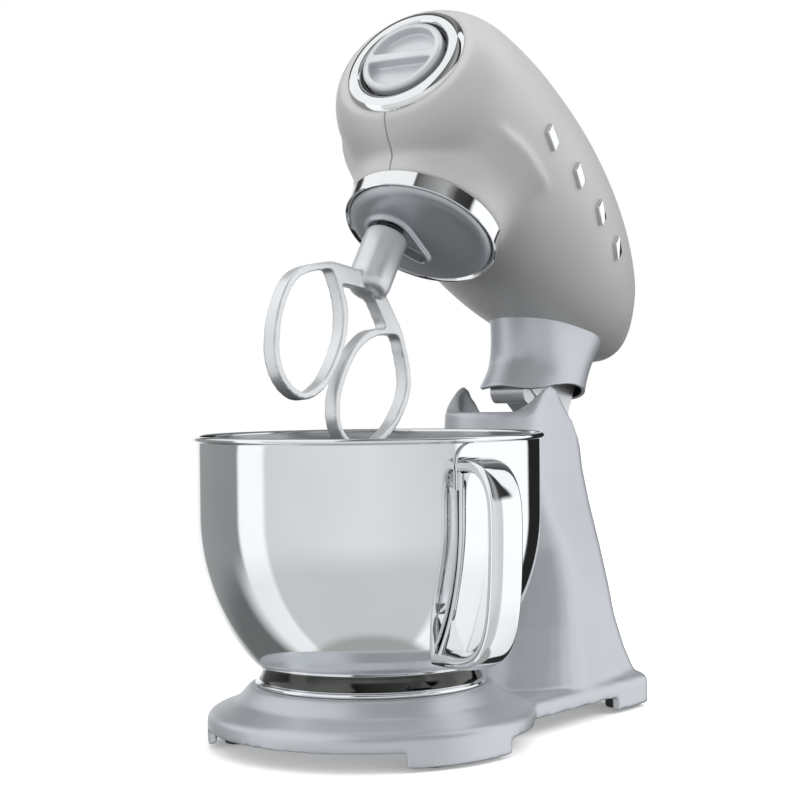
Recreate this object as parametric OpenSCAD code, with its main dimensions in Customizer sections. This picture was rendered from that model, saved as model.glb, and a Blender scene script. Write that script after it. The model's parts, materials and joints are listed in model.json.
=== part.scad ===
// Tilt-head stand mixer: a cast stand, a steel bowl and a planetary drive.
// The origin is on the counter, under the bowl's axis. -Y is the front and +Z is up.
// The head is stored tilted up. Its pieces are drawn as they lie with the head shut,
// and on_head() tilts them.

/* [Stand] */
// Radius of the base's front, about the bowl's axis
base_front_r = 107; // [100:1:114]
// Half the width across the base's rear corners
base_rear_half_w = 96; // [90:1:104]
// Distance from the bowl's axis to the base's rear edge
base_rear_y = 218; // [210:1:250]
// Height of the base's skirt
skirt_h = 25; // [22:1:32]
// Height of the round seat that the bowl stands on
seat_z = 40; // [36:1:46]
// Wall of the casting
cast_wall = 6; // [4:0.5:8]
// Width of the column's top, across its cheeks
neck_w = 78; // [74:1:90]
// Height of the arches between the feet
arch_h = 12; // [8:1:16]

/* [Bowl] */
// Outer radius of the bowl's straight wall
bowl_r = 112; // [100:1:114]
// Height of the bowl's rim above the counter
rim_z = 200; // [190:1:204]
// Thickness of the bowl's sheet
bowl_wall = 1.2; // [0.8:0.1:2]
// Radius of the seam where the bowl meets its foot
seam_r = 70; // [60:1:74]
// Width of the handle's strap
strap_w = 23; // [18:1:28]
// Thickness of the handle's strap
strap_t = 7; // [5:0.5:9]
// How far the handle stands out from the bowl's wall
handle_reach = 35; // [30:1:45]

/* [Head] */
// Length of the head from its front face to its tail
head_len = 344; // [330:1:360]
// Height of the head's axis above the counter, with the head shut
head_axis_z = 300; // [298:1:306]
// Wall of the head's two shells
shell_wall = 3; // [2:0.5:4]
// Angle that the head tilts up by
tilt_angle = 35; // [25:1:38]
// Diameter of the hinge pin
hinge_pin_d = 10; // [8:1:14]
// Outer radius of the bright ring at the head's front
front_ring_r = 44; // [40:0.5:46]
// Radius of the cap over the front drive hub
hub_cap_r = 30; // [26:0.5:31]

/* [Planetary drive] */
// Radius of the turning dish under the head
dish_r = 51; // [48:0.5:52]
// Height of the dish's lower edge, with the head shut
dish_z = 212; // [211:0.5:216]
// Tooth module of the planetary gears
planet_module = 1.5; // [1.25, 1.5]
// Teeth on the planet gear
planet_teeth = 14; // [13:1:14]
// Teeth on the ring gear
ring_teeth = 42; // [40:1:44]
// Diameter of the beater shaft
shaft_d = 12; // [10:0.5:12]
// Tooth module of the reduction gears
drive_module = 1.25; // [1.25]
// Teeth on the gear of the main shaft
main_teeth = 72; // [60:1:72]
// Teeth on the pinion of the countershaft
pinion_teeth = 14; // [14:1:18]

/* [Beater] */
// Half the width across the beater's two loops
beater_half_w = 68; // [60:1:70]
// Height of the loops' tips above the counter, with the head shut
beater_tip_z = 57; // [57:1:70]
// Width of the beater's flat bar
bar_w = 10; // [8:1:12]
// Thickness of the beater's flat bar
bar_t = 5; // [4:0.5:7]
// Outer diameter of the beater's sleeve
sleeve_d = 30; // [26:1:32]

/* [Hidden] */
$fn = 64;

eps = 0.01;
fit = 0.05;         // radial running clearance of shafts and pins
seat_gap = 0.15;    // gap between pieces that are fixed together
move_gap = 0.8;     // gap between covers that move past each other
silver = [0.77, 0.78, 0.81];
paint = [0.70, 0.69, 0.68];
bright = [0.86, 0.87, 0.88];
steel = [0.62, 0.63, 0.65];
black = [0.08, 0.08, 0.09];

// Hinge, placed in the column's top rear
hinge_y = base_rear_y + 7;
hinge_z = rim_z - 28;
hinge_r = hinge_pin_d / 2;
knuckle_r = hinge_r + 8;
knuckle_w = 30;
pin_near = neck_w / 2 - 8;     // the pin's bore is blind on this side
pin_far = neck_w / 2 - 8;

// Column and collar
neck_y = hinge_y - 38;         // centre of the collar
collar_a = neck_w / 2 - 3.5;   // collar's half width
collar_b = 44;                 // collar's half depth
collar_wall = 3;
neck_top_z = rim_z + 32;
lip_z = rim_z + 13;

// Head
head_front_y = -head_len * 0.228;
tail_y = head_front_y + head_len;
head_side = 1.07;              // width of the head's sections over their height
// Sections: distance along the head, top and bottom, as shares of the length
head_shape = [
    [0, 0.138, -0.138], [0.03, 0.164, -0.163], [0.08, 0.185, -0.184], [0.22, 0.210, -0.205],
    [0.42, 0.220, -0.203], [0.62, 0.203, -0.178], [0.8, 0.165, -0.125], [0.9, 0.122, -0.081],
    [0.96, 0.084, -0.046], [0.99, 0.049, -0.016], [1, 0.022, 0.010]
];
boss_r = dish_r + 3;

// Planetary drive
offset_r = (ring_teeth - planet_teeth) * planet_module / 2;
carrier_angle = 205;
ring_pitch_r = ring_teeth * planet_module / 2;
ring_out_r = ring_pitch_r + 6;
shaft_r = shaft_d / 2;
main_r = 7.5;
main_pitch_r = main_teeth * drive_module / 2;
counter_y = (main_teeth + pinion_teeth) * drive_module / 2;
counter_angle = mesh_angle(90, carrier_angle, main_teeth, pinion_teeth);
planet_angle = -carrier_angle * ring_teeth / planet_teeth;
bevel_teeth = 20;
bevel_r = 14;
bevel_w = 6;
power_angle = 90 - (0.5 + (90 + carrier_angle) * bevel_teeth / 360) * 360 / bevel_teeth;

// Levels inside the head, from the dish up
ring_z = dish_z + 17;
ring_h = 11;
plate_z = ring_z + ring_h + 4;
plate_t = 6;
bearing_h = 8;
gear_z = plate_z + plate_t + 7;
gear_h = 8;
pulley_z = gear_z + gear_h + 6;
pulley_h = 12;
motor_z = pulley_z + pulley_h + 5;
motor_h = 54;
motor_r = 36;
motor_y = counter_y + 96;
belt_r = 34;
motor_pulley_r = 8;
belt_t = 2;

// Beater
sleeve_top_z = dish_z - 6;
sleeve_h = 47;
sleeve_base_z = sleeve_top_z - sleeve_h;
beater_angle = 82;

function mesh_angle(dir, turn, teeth, other) =
    dir + 180 - (0.5 - (dir - turn) * teeth / 360) * 360 / other;

// Point of a smooth curve through a list, at place u from 0 to 1
function spline(list, u, k) =
    let (n = len(list) - 1, i = max([for (j = [0:n - 1]) list[j][0] <= u ? j : 0]))
    let (a = list[max(i - 1, 0)], b = list[i], c = list[min(i + 1, n)], d = list[min(i + 2, n)])
    let (w = c[0] - b[0], t = (u - b[0]) / w)
    let (mb = i == 0 ? (c[k] - b[k]) : (c[k] - a[k]) / (c[0] - a[0]) * w)
    let (mc = i == n - 1 ? (c[k] - b[k]) : (d[k] - b[k]) / (d[0] - b[0]) * w)
    (2*t*t*t - 3*t*t + 1) * b[k] + (t*t*t - 2*t*t + t) * mb + (3*t*t - 2*t*t*t) * c[k] + (t*t*t - t*t) * mc;

function bowl_wall_r(z) =
    let (low = seat_z + 10, high = rim_z - 50, u = min(max((z - low) / (high - low), 0), 1))
    seam_r + (bowl_r - seam_r) * pow(1 - (1 - u) * (1 - u), 0.8);

function involute(a) = tan(a) * 180 / PI - a;
function tooth_half(r, pitch_r, base_r, half) = half + involute(20) - involute(acos(min(1, base_r / r)));

// Outline of a spur gear with its first tooth on the +X axis
function gear_points(teeth, m, tip, root, slack) =
    let (pitch_r = teeth * m / 2, base_r = pitch_r * cos(20), tip_r = pitch_r + tip, root_r = pitch_r - root)
    let (half = 90 / teeth - slack / pitch_r * 90 / PI, low = max(base_r, root_r))
    let (rs = [root_r, low + 0.01, (low + tip_r) / 2, tip_r])
    [for (i = [0:teeth - 1], side = [-1, 1], j = [0:3])
        let (r = side < 0 ? rs[j] : rs[3 - j])
        let (a = i * 360 / teeth + side * tooth_half(max(r, base_r), pitch_r, base_r, half))
        [r * cos(a), r * sin(a)]];

module spur(teeth, m, h) {
    linear_extrude(h) polygon(gear_points(teeth, m, 0.9 * m, 1.25 * m, 0.12));
}

module ring_bar(r_out, r_in, h) {
    rotate_extrude() translate([r_in, 0]) square([r_out - r_in, h]);
}

module on_head() {
    translate([0, hinge_y, hinge_z]) rotate([-tilt_angle, 0, 0])
        translate([0, -hinge_y, -hinge_z]) children();
}

module on_planet(turn = 0) {
    rotate(carrier_angle) translate([offset_r, 0, 0]) rotate(turn - carrier_angle) children();
}

module along_y() {
    rotate([-90, 0, 0]) children();
}

module along_x() {
    rotate([90, 0, 90]) children();
}

// ---- Stand ----

module base_outline(inset = 0) {
    offset(r = -16 - inset) offset(r = 16) {
        circle(r = base_front_r, $fn = 96);
        hull() for (side = [-1, 1]) {
            translate([side * (base_rear_half_w - 10), base_rear_y - 10]) circle(r = 10, $fn = 32);
            translate([side * (base_rear_half_w - 20), 40]) circle(r = 10, $fn = 32);
        }
    }
}

module column_section(z, half_w, front, back, corner) {
    translate([0, 0, z]) linear_extrude(eps) hull() {
        translate([0, front + half_w * 0.8]) scale([1, 0.8]) circle(r = half_w, $fn = 48);
        for (side = [-1, 1])
            translate([side * (half_w - corner), back - corner]) circle(r = corner, $fn = 32);
    }
}

column_levels = [
    [skirt_h - 6, base_rear_half_w - 5, seam_r - 8, base_rear_y - 4, 9],
    [skirt_h + 4, base_rear_half_w - 9, seam_r - 2, base_rear_y - 5, 11],
    [skirt_h + 18, base_rear_half_w - 15, seam_r + 10, base_rear_y - 4, 14],
    [skirt_h + 40, base_rear_half_w - 23, seam_r + 27, base_rear_y, 18],
    [rim_z - 112, base_rear_half_w - 29, seam_r + 39, base_rear_y + 4, 20],
    [rim_z - 84, base_rear_half_w - 38, bowl_r + 8, base_rear_y + 8, 20],
    [rim_z - 55, neck_w / 2 + 9, bowl_r + 10, base_rear_y + 12, 20],
    [rim_z - 30, neck_w / 2 + 2, bowl_r + 14, base_rear_y + 15, 20],
    [rim_z - 10, neck_w / 2, bowl_r + 18, base_rear_y + 16, 22],
    [rim_z + 13, neck_w / 2, bowl_r + 20, base_rear_y + 16, 22],
    [neck_top_z, neck_w / 2 - 1, bowl_r + 24, base_rear_y + 14, 22]
];

module column_body() {
    for (i = [0:len(column_levels) - 2]) hull() for (j = [i, i + 1])
        column_section(column_levels[j][0], column_levels[j][1], column_levels[j][2],
            column_levels[j][3], column_levels[j][4]);
}

// Side view of what is cut off the column's top: the front lip, the cheeks and their rear slope
module column_top_cut() {
    along_x() translate([0, 0, -neck_w]) linear_extrude(2 * neck_w) polygon([
        [0, lip_z], [bowl_r + 38, lip_z], [bowl_r + 58, neck_top_z - 3], [bowl_r + 66, neck_top_z],
        [bowl_r + 74, neck_top_z - 2], [hinge_y + 1, hinge_z + 12], [hinge_y + 60, hinge_z + 8],
        [hinge_y + 60, neck_top_z + 50], [0, neck_top_z + 50]
    ]);
}

module collar_bore(grow, low, high) {
    translate([0, neck_y, low]) scale([(collar_a + grow) / collar_b, (collar_b + grow) / collar_b, 1])
        cylinder(r = collar_b, h = high - low, $fn = 72);
}

module arches() {
    front_span = base_front_r * 1.42;
    side_span = base_rear_y - 48;
    translate([-front_span / 2, -base_front_r - 1, -1]) cube([front_span, 60, arch_h + 1]);
    translate([-base_rear_half_w - 40, 0, -1]) cube([2 * base_rear_half_w + 80, side_span, arch_h + 1]);
    translate([25 - base_rear_half_w, base_rear_y - 30, -1])
        cube([2 * base_rear_half_w - 50, 40, arch_h + 1]);
}

module stand_casting() {
    color(silver) difference() {
        union() {
            for (i = [0:4]) translate([0, 0, i == 0 ? 2 : skirt_h - 6 + 1.5 * (i - 1)])
                linear_extrude(i == 0 ? skirt_h - 8 : 1.5) base_outline(i * i * 0.35);
            hull() {
                translate([0, 0, skirt_h - 1]) cylinder(r = base_front_r - 7, h = 1, $fn = 96);
                translate([0, 0, skirt_h + 4]) cylinder(r = seam_r + 18, h = 1, $fn = 96);
            }
            hull() {
                translate([0, 0, skirt_h + 3]) cylinder(r = seam_r + 18, h = 2, $fn = 96);
                translate([0, 0, seat_z - 1]) cylinder(r = seam_r + 9, h = 1, $fn = 96);
            }
            column_body();
        }
        arches();
        translate([0, 0, -1]) linear_extrude(skirt_h - cast_wall + 1) base_outline(cast_wall);
        translate([0, 0, -1]) cylinder(r = seam_r, h = seat_z - cast_wall + 1, $fn = 96);
        translate([0, 0, seat_z - 4]) cylinder(r = seam_r + 1, h = 8, $fn = 96);
        hull() {
            translate([-neck_w / 2 - 23, seam_r + 40, 0]) cube([neck_w + 46, base_rear_y - seam_r - 52, 30]);
            translate([-neck_w / 2 + 3, bowl_r + 30, hinge_z - 44])
                cube([neck_w - 6, base_rear_y - bowl_r - 30, 4]);
        }
        column_top_cut();
        collar_bore(move_gap, rim_z - 18, neck_top_z + 40);
        translate([-knuckle_w / 2 - 1, 0, 0]) along_x() linear_extrude(knuckle_w + 2) polygon([
            [bowl_r + 32, hinge_z - 46], [base_rear_y - 4, hinge_z - 46],
            [base_rear_y - 4, hinge_z - knuckle_r - 1], [base_rear_y + 80, hinge_z - knuckle_r - 1],
            [base_rear_y + 80, hinge_z + 80], [bowl_r + 32, hinge_z + 80]
        ]);
        translate([-pin_far, hinge_y, hinge_z]) along_x()
            cylinder(r = hinge_r + 3 + seat_gap, h = pin_far + pin_near);
        translate([-neck_w, hinge_y, hinge_z]) along_x() cylinder(r = hinge_r + 0.3, h = neck_w);
        translate([0, base_rear_y - 20, hinge_z - 27]) along_y() cylinder(r = 9 + move_gap, h = 80);
        translate([base_rear_half_w - 36, base_rear_y - 30, arch_h + 5]) along_y()
            cylinder(r = 6 + seat_gap, h = 50);
    }
}

foot_spots = [
    [-base_front_r * 0.7, -base_front_r * 0.42], [base_front_r * 0.7, -base_front_r * 0.42],
    [-base_rear_half_w + 18, base_rear_y - 18], [base_rear_half_w - 18, base_rear_y - 18]
];

module base_plate() {
    color(steel) difference() {
        translate([0, 0, arch_h + 0.5]) linear_extrude(1.5) base_outline(cast_wall + 0.5);
        for (p = foot_spots) translate([p[0], p[1], 0]) cylinder(r = 5 + seat_gap, h = 40);
        translate([base_rear_half_w - 36, base_rear_y - 30, arch_h + 5]) along_y() cylinder(r = 10, h = 50);
    }
}

module rubber_feet() {
    color(black) for (p = foot_spots) translate([p[0], p[1], 0]) {
        cylinder(r1 = 9, r2 = 10.5, h = arch_h + 0.5 - seat_gap);
        cylinder(r = 5, h = arch_h + 4);
    }
}

screw_spots = [
    [-40, -70], [40, -70], [-58, base_rear_y - 40], [58, base_rear_y - 40]
];

module base_screws() {
    color(steel) for (p = screw_spots) translate([p[0], p[1], arch_h - 2]) {
        cylinder(r = 3.5, h = 2.5 - seat_gap);
    }
}

// The bowl's foot drops into this plate and turns under its three hooks
module bowl_lock_plate() {
    color(steel) translate([0, 0, seat_z - 4]) {
        difference() {
            cylinder(r = seam_r + 1 - seat_gap, h = 2.5);
            translate([0, 0, -1]) cylinder(r = seam_r - 22, h = 5);
            for (i = [0:2]) rotate(i * 120 + 60) translate([seam_r - 12, 0, -1]) cylinder(r = 2.2, h = 5);
        }
        for (i = [0:2]) rotate(i * 120) rotate_extrude(angle = 30)
            polygon([[seam_r - 16, 2.5], [seam_r - 10, 2.5], [seam_r - 10, 7], [seam_r - 6, 7],
                [seam_r - 6, 9], [seam_r - 12, 9], [seam_r - 16, 5]]);
    }
}

module lock_plate_screws() {
    color(steel) for (i = [0:2]) rotate(i * 120 + 60) translate([seam_r - 12, 0, seat_z - 4]) {
        cylinder(r = 2.2 - fit, h = 2.5);
        translate([0, 0, 2.5 + seat_gap]) cylinder(r = 4, h = 1.8);
        cylinder(r = 2.2 - fit, h = 3);
    }
}

module hinge_bushes() {
    color([0.78, 0.62, 0.30]) for (side = [0, 1]) mirror([side, 0, 0])
        translate([knuckle_w / 2 + 1, hinge_y, hinge_z]) along_x()
            difference() {
                cylinder(r = hinge_r + 3, h = pin_near - knuckle_w / 2 - 1 - seat_gap);
                translate([0, 0, -1]) cylinder(r = hinge_r + fit, h = neck_w);
            }
}

module cord_gland() {
    color(black) translate([base_rear_half_w - 36, base_rear_y - 14, arch_h + 5]) along_y() difference() {
        union() {
            cylinder(r = 6, h = 16);
            translate([0, 0, 14.5]) cylinder(r = 8.5, h = 3);
        }
        translate([0, 0, -1]) cylinder(r = 3.5, h = 30);
    }
}

// ---- Head release, at the column's rear ----

latch_z = hinge_z - 27;
button_y = base_rear_y + 6;

module release_button() {
    color(bright) translate([0, button_y, latch_z]) along_y() difference() {
        union() {
            cylinder(r = 9, h = 11);
            translate([0, 0, 11]) cylinder(r1 = 9, r2 = 7.5, h = 1.5);
        }
        translate([0, 0, 11.6]) cylinder(r1 = 5, r2 = 6, h = 2);
        translate([0, 0, -1]) cylinder(r = 2.5, h = 8);
    }
}

module latch_bar() {
    color(steel) {
        translate([0, button_y - 44, latch_z]) along_y() cylinder(r = 2.5 - fit, h = 44 + 6);
        translate([-8, button_y - 50, latch_z - 4]) cube([16, 6, 17]);
    }
}

// Two plates that the bar slides through, held by the column's walls
module latch_guide() {
    color(steel) translate([0, button_y - 28, latch_z]) difference() {
        translate([seat_gap - knuckle_w / 2 - 1, -2, -7]) cube([knuckle_w + 2 - 2 * seat_gap, 4, 14]);
        translate([0, -6, 0]) along_y() cylinder(r = 2.5 + fit, h = 12);
    }
}

module coil(r, wire, turns, h, sides = 6, steps = 12) {
    n = turns * steps;
    points = [for (i = [0:n], k = [0:sides - 1])
        let (a = 360 * i / steps, b = 360 * k / sides, c = r + wire * cos(b))
        [c * cos(a), c * sin(a), h * i / n + wire * sin(b)]];
    walls = [for (i = [0:n - 1], k = [0:sides - 1])
        let (m = (k + 1) % sides)
        [i * sides + k, (i + 1) * sides + k, (i + 1) * sides + m, i * sides + m]];
    ends = [[for (k = [0:sides - 1]) k], [for (k = [sides - 1:-1:0]) n * sides + k]];
    polyhedron(points, concat(walls, ends));
}

module latch_spring() {
    color(steel) translate([0, button_y - 24, latch_z]) along_y() coil(4.6, 0.5, 6, 22.5);
}

// ---- Bowl ----

bowl_floor_z = seat_z + 13;

module bowl() {
    wall_z = [for (i = [0:16]) seat_z + 12.4 + (rim_z - 50 - seat_z - 12.4) * i / 16];
    outer = concat([for (z = wall_z) [bowl_wall_r(z), z]], [[bowl_r, rim_z - 1]]);
    inner = [for (i = [len(outer) - 1:-1:0])
        [outer[i][0] - bowl_wall * (i < 6 ? 1.3 : 1), outer[i][1] + (i == 0 ? bowl_wall : bowl_wall * 0.4)]];
    color(bright) rotate_extrude() {
        polygon(concat([[0, outer[0][1] - 0.4]], outer, inner, [[0, outer[0][1] - 0.4 + bowl_wall]]));
        translate([bowl_r + 1.2, rim_z]) circle(r = 1.8, $fn = 32);
    }
}

module bowl_foot_ring() {
    foot_r = seam_r + 5;
    low = seat_z + seat_gap;
    color(bright) {
        rotate_extrude() polygon([
            [seam_r - 2, seat_z + 11.4], [seam_r - 2.5, seat_z + 9], [foot_r - 3, low + 2], [foot_r - 3, low],
            [foot_r, low], [foot_r + 0.4, low + 1.4], [foot_r - 0.6, low + 2.8], [seam_r, seat_z + 10.8],
            [seam_r, seat_z + 11.4]
        ]);
        for (i = [0:2]) rotate(i * 120 + 38) rotate_extrude(angle = 20)
            polygon([[seam_r - 7, low + 0.3], [foot_r - 2, low + 0.3], [foot_r - 2, low + 2.3], [seam_r - 7, low + 2.3]]);
    }
}

handle_angle = -22;

module bowl_handle() {
    top = rim_z - 8;
    bottom = seat_z + 22;
    out = bowl_r + handle_reach;
    color(bright) rotate(handle_angle) {
        rotate([90, 0, 0]) translate([0, 0, -strap_w / 2]) linear_extrude(strap_w) difference() {
            union() {
                offset(r = 14, $fn = 40) offset(r = -14) polygon([[bowl_wall_r(bottom) - 1, bottom],
                    [out - 8, bottom - 2], [out, top], [bowl_r - 1, top]]);
                polygon([[bowl_wall_r(bottom) - 0.3, bottom - 1], [bowl_wall_r(bottom) + 24, bottom - 1],
                    [bowl_wall_r(bottom) + 24, bottom + 3], [bowl_wall_r(bottom + 12), bottom + 12]]);
                polygon([[bowl_r - 0.3, top], [bowl_r + 20, top], [bowl_r + 20, top - strap_t],
                    [bowl_r - 0.3, top - strap_t]]);
            }
            offset(r = 9, $fn = 40) offset(r = -9) polygon([
                [bowl_wall_r(bottom + 12) + 3, bottom + strap_t], [out - 8 - strap_t, bottom + strap_t - 2],
                [out - strap_t, top - strap_t], [bowl_r + 3, top - strap_t],
                [bowl_wall_r(bottom + 55) + 3, bottom + 55], [bowl_wall_r(bottom + 30) + 3, bottom + 30]]);
            polygon(concat([[0, bottom - 20]],
                [for (i = [0:12]) let (z = bottom - 20 + (top - bottom + 30) * i / 12)
                    [bowl_wall_r(z) + 0.05, z]], [[0, top + 10]]));
        }
    }
}

// ---- Head ----

module head_section(u, inset) {
    top = spline(head_shape, u, 1) * head_len - inset;
    bottom = spline(head_shape, u, 2) * head_len + inset;
    half_h = max((top - bottom) / 2, 0.2);
    half_w = max((top - bottom + 2 * inset) / 2 * head_side - inset, 0.2);
    y = head_front_y + inset + (head_len - 2 * inset) * u;
    translate([0, y, head_axis_z + (top + bottom) / 2]) rotate([90, 0, 0])
        scale([half_w, half_h, 1]) cylinder(r = 1, h = eps, center = true, $fn = 56);
}

head_steps = [0, 0.015, 0.03, 0.05, 0.08, 0.14, 0.22, 0.32, 0.42, 0.52, 0.62, 0.71, 0.8, 0.87, 0.92, 0.96, 0.985, 1];

module head_solid(inset = 0) {
    for (i = [0:len(head_steps) - 2]) hull() {
        head_section(head_steps[i], inset);
        head_section(head_steps[i + 1], inset);
    }
}

trim_top_z = dish_z + 13;

module head_shell() {
    difference() {
        union() {
            head_solid();
            for (i = [0:1]) hull() {
                translate([0, 0, trim_top_z + seat_gap + 14 * i]) cylinder(r = boss_r + 4 * i, h = 1, $fn = 72);
                translate([0, 0, trim_top_z + 14 + 24 * i]) cylinder(r = boss_r + 4 + 12 * i, h = 1, $fn = 72);
            }
        }
        head_solid(shell_wall);
        translate([0, 0, dish_z - 5]) cylinder(r = boss_r - shell_wall, h = 60, $fn = 72);
        collar_bore(-collar_wall, rim_z - 20, head_axis_z - 20);
        translate([0, head_front_y - 1, head_axis_z]) along_y()
            cylinder(r = hub_cap_r + 3 + seat_gap, h = 20, $fn = 72);
        speed_slot(1);
        vent_slots(0);
    }
}

module head_half(side) {
    intersection() {
        head_shell();
        translate([side > 0 ? seat_gap : -200, head_front_y - 50, 0]) cube([200 - seat_gap, head_len + 100, 500]);
    }
}

module head_shell_left() {
    color(paint) on_head() head_half(-1);
}

module head_shell_right() {
    color(paint) on_head() head_half(1);
}

// Lower edge of the collar, in side view: low at the front and high at the rear
module collar_cut() {
    along_x() translate([0, 0, -100]) linear_extrude(200) polygon([
        [0, 0], [0, rim_z - 15], [neck_y - 46, rim_z - 12], [neck_y - 34, rim_z - 8], [neck_y - 20, rim_z + 6],
        [neck_y, rim_z + 19], [neck_y + 24, rim_z + 29], [neck_y + 60, rim_z + 34], [neck_y + 60, 0]
    ]);
}

module collar_skin(inset) {
    levels = [[rim_z - 20, 1.5], [rim_z + 2, 0], [rim_z + 20, -0.5], [rim_z + 40, 0], [rim_z + 56, 1.5],
        [rim_z + 72, 3.5]];
    for (i = [0:len(levels) - 2]) hull() for (j = [i, i + 1])
        translate([0, neck_y, levels[j][0]])
            scale([collar_a - 1.5 + levels[j][1] * 0.6 - inset, collar_b - 1.5 + levels[j][1] * 0.6 - inset, 1])
                cylinder(r = 1, h = eps, $fn = 72);
}

module neck_collar() {
    color(silver) on_head() difference() {
        collar_skin(0);
        translate([0, 0, -1]) collar_skin(collar_wall);
        translate([0, 0, 1]) collar_skin(collar_wall);
        collar_cut();
        minkowski() {
            head_solid();
            cube(2 * seat_gap, center = true);
        }
    }
}

// The arm carries the head on the hinge pin, and its front lug is what the column's pocket takes
module hinge_arm() {
    color(steel) on_head() difference() {
        union() {
            translate([-knuckle_w / 2, hinge_y, hinge_z]) along_x() cylinder(r = knuckle_r, h = knuckle_w);
            translate([-knuckle_w / 2, 0, 0]) along_x() linear_extrude(knuckle_w) polygon([
                [hinge_y - knuckle_r, hinge_z], [hinge_y + knuckle_r, hinge_z],
                [hinge_y + knuckle_r, hinge_z + 6], [hinge_y - 6, rim_z + 16], [hinge_y - 8, plate_z - seat_gap],
                [neck_y - 32, plate_z - seat_gap], [neck_y - 32, hinge_z + 26], [hinge_y - 24, hinge_z + 26]
            ]);
            translate([-knuckle_w / 2 + 1, neck_y - 24, hinge_z + 24]) along_x()
                cylinder(r = 9, h = knuckle_w - 2);
        }
        translate([-knuckle_w, hinge_y, hinge_z]) along_x() cylinder(r = hinge_r + fit / 2, h = 2 * knuckle_w);
    }
}

module hinge_pin() {
    color(bright) on_head() translate([2 - neck_w / 2, hinge_y, hinge_z]) along_x()
        cylinder(r = hinge_r, h = neck_w / 2 - 2.5 + pin_near);
}

chassis_screw_spots = [[-9, neck_y - 2], [9, neck_y - 2], [-9, neck_y + 20], [9, neck_y + 20]];

module gearbox_chassis() {
    post_z = plate_z + plate_t - eps;
    front_y = -main_pitch_r - 8;
    color(steel) on_head() difference() {
        union() {
            translate([0, 0, plate_z]) cylinder(r = boss_r - shell_wall - 1.5, h = plate_t);
            translate([-24, 0, plate_z]) cube([48, counter_y + 38, plate_t]);
            translate([-14, counter_y + 30, plate_z + 4]) cube([28, neck_y - counter_y - 49, plate_t]);
            translate([-15, neck_y - 30, plate_z]) cube([30, 60, plate_t]);
            translate([-14, front_y - 2, plate_z]) cube([28, 20, plate_t]);
            translate([-14, front_y - 2, post_z]) cube([28, 5, head_axis_z + 14 - post_z]);
            for (side = [-1, 1]) {
                translate([side * 10, motor_y - 29, post_z]) cylinder(r = 4, h = motor_z - post_z - 4);
                translate([side * 11, motor_y + 24, post_z]) cylinder(r = 3.5, h = motor_z - post_z - 4);
            }
            translate([0, 0, ring_z + ring_h + seat_gap])
                ring_bar(ring_out_r + 3, main_r + 6 + seat_gap, plate_z - ring_z - ring_h);
            translate([0, 0, ring_z - 2]) ring_bar(ring_out_r + 3, ring_out_r + seat_gap, ring_h + 4);
            translate([0, motor_y, motor_z - 4 - seat_gap]) cylinder(r = motor_r, h = 4);
        }
        translate([0, 0, ring_z]) cylinder(r = main_r + 6 + seat_gap, h = 40);
        translate([0, counter_y, plate_z - 1]) cylinder(r = 9 + seat_gap, h = plate_t + 2);
        translate([0, front_y - 5, head_axis_z]) along_y() cylinder(r = 10 + seat_gap, h = 12);
        translate([0, motor_y, motor_z - 10]) cylinder(r = 12, h = 12);
        for (p = chassis_screw_spots) translate([p[0], p[1], plate_z - 1]) cylinder(r = 2.1, h = 10);
    }
}

module chassis_screws() {
    color(bright) on_head() for (p = chassis_screw_spots) translate([p[0], p[1], plate_z]) {
        cylinder(r = 2, h = plate_t + seat_gap);
        translate([0, 0, plate_t + seat_gap]) cylinder(r = 3.6, h = 2.4);
    }
}

module front_ring() {
    color(bright) on_head() translate([0, head_front_y - seat_gap, head_axis_z]) rotate([90, 0, 0])
        rotate_extrude() polygon([
            [hub_cap_r + 3, 0], [front_ring_r, 0], [front_ring_r + 0.4, 1.2], [front_ring_r - 1, 3],
            [front_ring_r - 6, 4.4], [hub_cap_r + 5, 4], [hub_cap_r + 3, 2.8]
        ]);
}

module hub_gap_ring() {
    color(black) on_head() translate([0, head_front_y + 8, head_axis_z]) rotate([90, 0, 0])
        ring_bar(hub_cap_r + 3 - seat_gap, hub_cap_r + 1.2, 9);
}

// Cup behind the cap, where attachments plug in
module hub_socket() {
    color(steel) on_head() translate([0, -main_pitch_r - 10 - seat_gap, head_axis_z]) rotate([90, 0, 0])
        rotate_extrude() polygon([
            [8, 0], [hub_cap_r + 1, 0], [hub_cap_r + 1, 15.5], [hub_cap_r - 3, 15.5], [hub_cap_r - 3, 3], [8, 3]
        ]);
}

module hub_cap() {
    grip = 3.5;
    color(silver) on_head() translate([0, head_front_y + 2, head_axis_z]) rotate([90, 0, 0]) difference() {
        rotate_extrude() polygon([
            [0, 0], [hub_cap_r - 1.5, 0], [hub_cap_r, 1.5], [hub_cap_r, 7], [hub_cap_r - 2, 8.6], [0, 9.6]
        ]);
        for (side = [-1, 1]) intersection() {
            translate([0, 0, 2]) cylinder(r = hub_cap_r - 5, h = 10);
            translate([-hub_cap_r, side > 0 ? grip : -grip - hub_cap_r, 1]) cube([2 * hub_cap_r, hub_cap_r, 12]);
        }
    }
}

pip_rise = -5;

module side_pips() {
    color(bright) on_head() for (side = [-1, 1], i = [0:3])
        let (u = 0.235 + 0.122 * i, y = head_front_y + head_len * u)
        let (top = spline(head_shape, u, 1) * head_len, bottom = spline(head_shape, u, 2) * head_len)
        translate([side * ((top - bottom) / 2 * head_side * cos(pip_rise) + 0.2), y,
            head_axis_z + (top + bottom) / 2 + (top - bottom) / 2 * sin(pip_rise)])
            rotate([0, side * (90 - pip_rise), 0]) rotate(45) cylinder(r1 = 5, r2 = 3.8, h = 2.4, $fn = 4);
}

speed_y = head_front_y + head_len * 0.62;
speed_z = head_axis_z + head_len * 0.203;
speed_slope = 9;
speed_travel = 36;

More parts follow.
